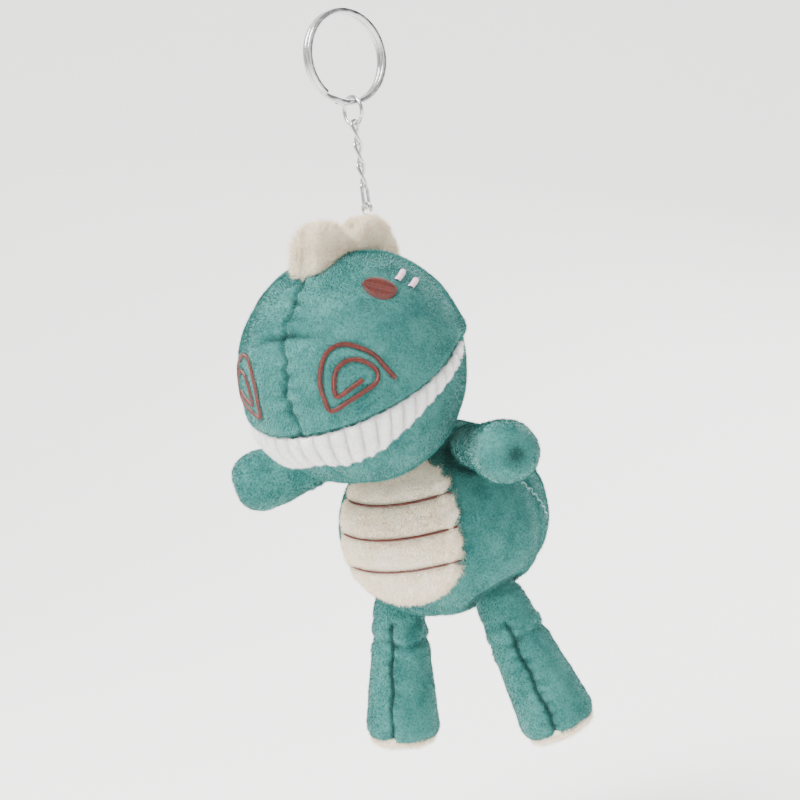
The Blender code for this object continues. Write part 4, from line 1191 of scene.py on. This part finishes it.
def oval(top, width, height, twist, facingAngle, steps=22, sideSteps=7):  # a long link, twisted about its length
    half, straight = width / 2, height - width
    arc = [math.pi * step / steps for step in range(steps + 1)]
    shares = [step / sideSteps for step in range(1, sideSteps)]
    loop = [(half * math.cos(angle), -half + half * math.sin(angle)) for angle in arc]
    loop += [(-half, -half - straight * share) for share in shares]
    loop += [(-half * math.cos(angle), -half - straight - half * math.sin(angle)) for angle in arc]
    loop += [(half, -half - straight + straight * share) for share in shares]
    points = []
    for across, drop in loop:
        turn = math.radians(facingAngle) - math.radians(twist) / 2 + math.radians(twist) * (-drop / height)
        points.append((across * math.cos(turn), across * math.sin(turn), top + drop))
    return points


def makeChain():
    wire = chainSet["wire"] * mm
    centre = Vector((0, 0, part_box("jump_ring")[1].z - (chainSet["jumpWire"] + chainSet["jumpRadius"]) * mm))
    opening, gap = math.radians(chainSet["jumpOpening"]), math.radians(chainSet["jumpGap"])
    angles = [opening + gap + 2 * (math.pi - gap) * step / 72 for step in range(73)]
    points = [centre + chainSet["jumpRadius"] * mm * (math.sin(angle) * ringAxis - math.cos(angle) * Vector((0, 0, 1)))
              for angle in angles]
    makeWire("jumpRing", points, chainSet["jumpWire"] * mm, "jump_ring", "jump_ring", closed=False, sides=5)
    links = [("link%d" % number, "link_%d" % number, chainSet["linkWidth"], chainSet["twist"], chainSet["facing"])
             for number in (1, 2, 3)]
    for name, node, width, twist, turned in links + [("endLink", "end_link", chainSet["endWidth"], 0.0, 90.0)]:
        low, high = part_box(node)
        loop = oval(high.z - wire, width * mm, high.z - low.z - 2 * wire, twist, turned)
        makeWire(name, loop, wire, node, node)
    eyeLow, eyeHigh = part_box("anchor_eye")
    radius, bend = chainSet["eyeRadius"] * mm, chainSet["eyeBend"] * mm
    eyeCentre, foot = eyeHigh.z - wire - radius, eyeLow.z + wire
    points = [(chainSet["eyeFoot"] * mm, 0, foot), (bend, 0, foot), (0.3 * bend, 0, foot + 0.3 * bend),
              (0, 0, foot + bend), (0, 0, eyeCentre - 2 * radius)]
    for step in range(49):
        angle = math.radians(14 + 295 * step / 48)
        points.append((-radius * math.sin(angle), 0, eyeCentre - radius * math.cos(angle)))
    makeWire("anchorEye", points, wire, "head", "anchor_eye", closed=False)
    giveMaterial(frame["nodes"]["anchor_disc"], steel)


makeSplitRing()
makeChain()
print("metal made")


# floor, light and camera

viewSet = {"azimuth": 33.59, "elevation": 4.79, "roll": 8.22, "distance": 506.7, "lens": 90.0,
           "aimRight": 10.7, "aimUp": -8.51}
floorSet = {"drop": 42.0, "size": 8.0, "colour": (0.93, 0.92, 0.905), "speck": (0.955, 0.95, 0.94), "glow": 1.15,
            "bend": 0.45, "curve": 0.8}
worldSet = {"bright": (0.95, 0.945, 0.93), "dark": (0.10, 0.10, 0.11), "from": (-0.55, -0.45, 0.70)}
lightSet = [("keyLight", (-0.50, 0.60, 0.40), 0.45, 21.0), ("fillLight", (0.70, 0.1, 0.6), 0.7, 3.0),
            ("rimLight", (0.30, 0.5, -0.55), 0.5, 6.0)]


def makeFloor():
    floor = newGrid("floor", 80, 80, floorSet["size"], location=(0, 0, cadLow.z - floorSet["drop"] * mm))
    settleObject(shadedSmooth(floor))
    points = getPoints(floor)
    azimuth = math.radians(viewSet["azimuth"])
    behind = points[:, 1] * math.cos(azimuth) - points[:, 0] * math.sin(azimuth)
    points[:, 2] += floorSet["curve"] * np.clip(behind - floorSet["bend"], 0, None) ** 2
    setPoints(floor, points)
    made, tree, shader = newMaterial("paleFloor", {"Roughness": 0.95, "Emission Strength": floorSet["glow"]})
    speck = addNode(tree, "ShaderNodeTexNoise", Scale=3.0, Detail=2.0).outputs["Fac"]
    shade = mixColours(tree, speck, (*floorSet["colour"], 1), (*floorSet["speck"], 1))
    feed(tree, shader.inputs["Base Color"], shade)
    feed(tree, shader.inputs["Emission Color"], shade)
    giveMaterial(floor, made)


def makeWorld():
    world = bpy.data.worlds.new("softRoom")
    world.use_nodes = True
    tree = world.node_tree
    towards = addNode(tree, "ShaderNodeTexCoord").outputs["Generated"]
    lit = addNode(tree, "ShaderNodeVectorMath", {0: towards, 1: worldSet["from"]}, operation="DOT_PRODUCT")
    glow = mapped(tree, lit.outputs["Value"], (-0.35, 0.65), curve="SMOOTHSTEP")
    sky = mixColours(tree, glow, (*worldSet["dark"], 1), (*worldSet["bright"], 1))
    feed(tree, tree.nodes["Background"].inputs["Color"], sky)
    bpy.context.scene.world = world


def makeCamera():
    azimuth, elevation, roll = (math.radians(viewSet[key]) for key in ("azimuth", "elevation", "roll"))
    level = Vector((math.cos(azimuth), math.sin(azimuth), 0))
    back = Vector((math.sin(azimuth) * math.cos(elevation), -math.cos(azimuth) * math.cos(elevation),
                   math.sin(elevation)))
    above = back.cross(level)
    right = level * math.cos(roll) - above * math.sin(roll)
    up = level * math.sin(roll) + above * math.cos(roll)
    camera = newObject("camera", bpy.data.cameras.new("camera"))
    target = headCentre + (right * viewSet["aimRight"] + up * viewSet["aimUp"]) * mm
    turn = Matrix((right, up, back)).transposed().to_4x4()
    camera.matrix_world = Matrix.Translation(target + back * viewSet["distance"] * mm) @ turn
    camera.data.lens = viewSet["lens"]
    camera.data.clip_start = 0.01
    bpy.context.scene.camera = camera
    return target, right, up, back


def makeLights(target, right, up, back):
    for name, offset, size, power in lightSet:
        light = newObject(name, bpy.data.lights.new(name, "AREA"))
        light.data.size = size
        light.data.energy = power
        light.location = target + right * offset[0] + up * offset[1] + back * offset[2]
        light.rotation_euler = (light.location - target).to_track_quat("Z", "Y").to_euler()


makeFloor()
makeWorld()
makeLights(*makeCamera())
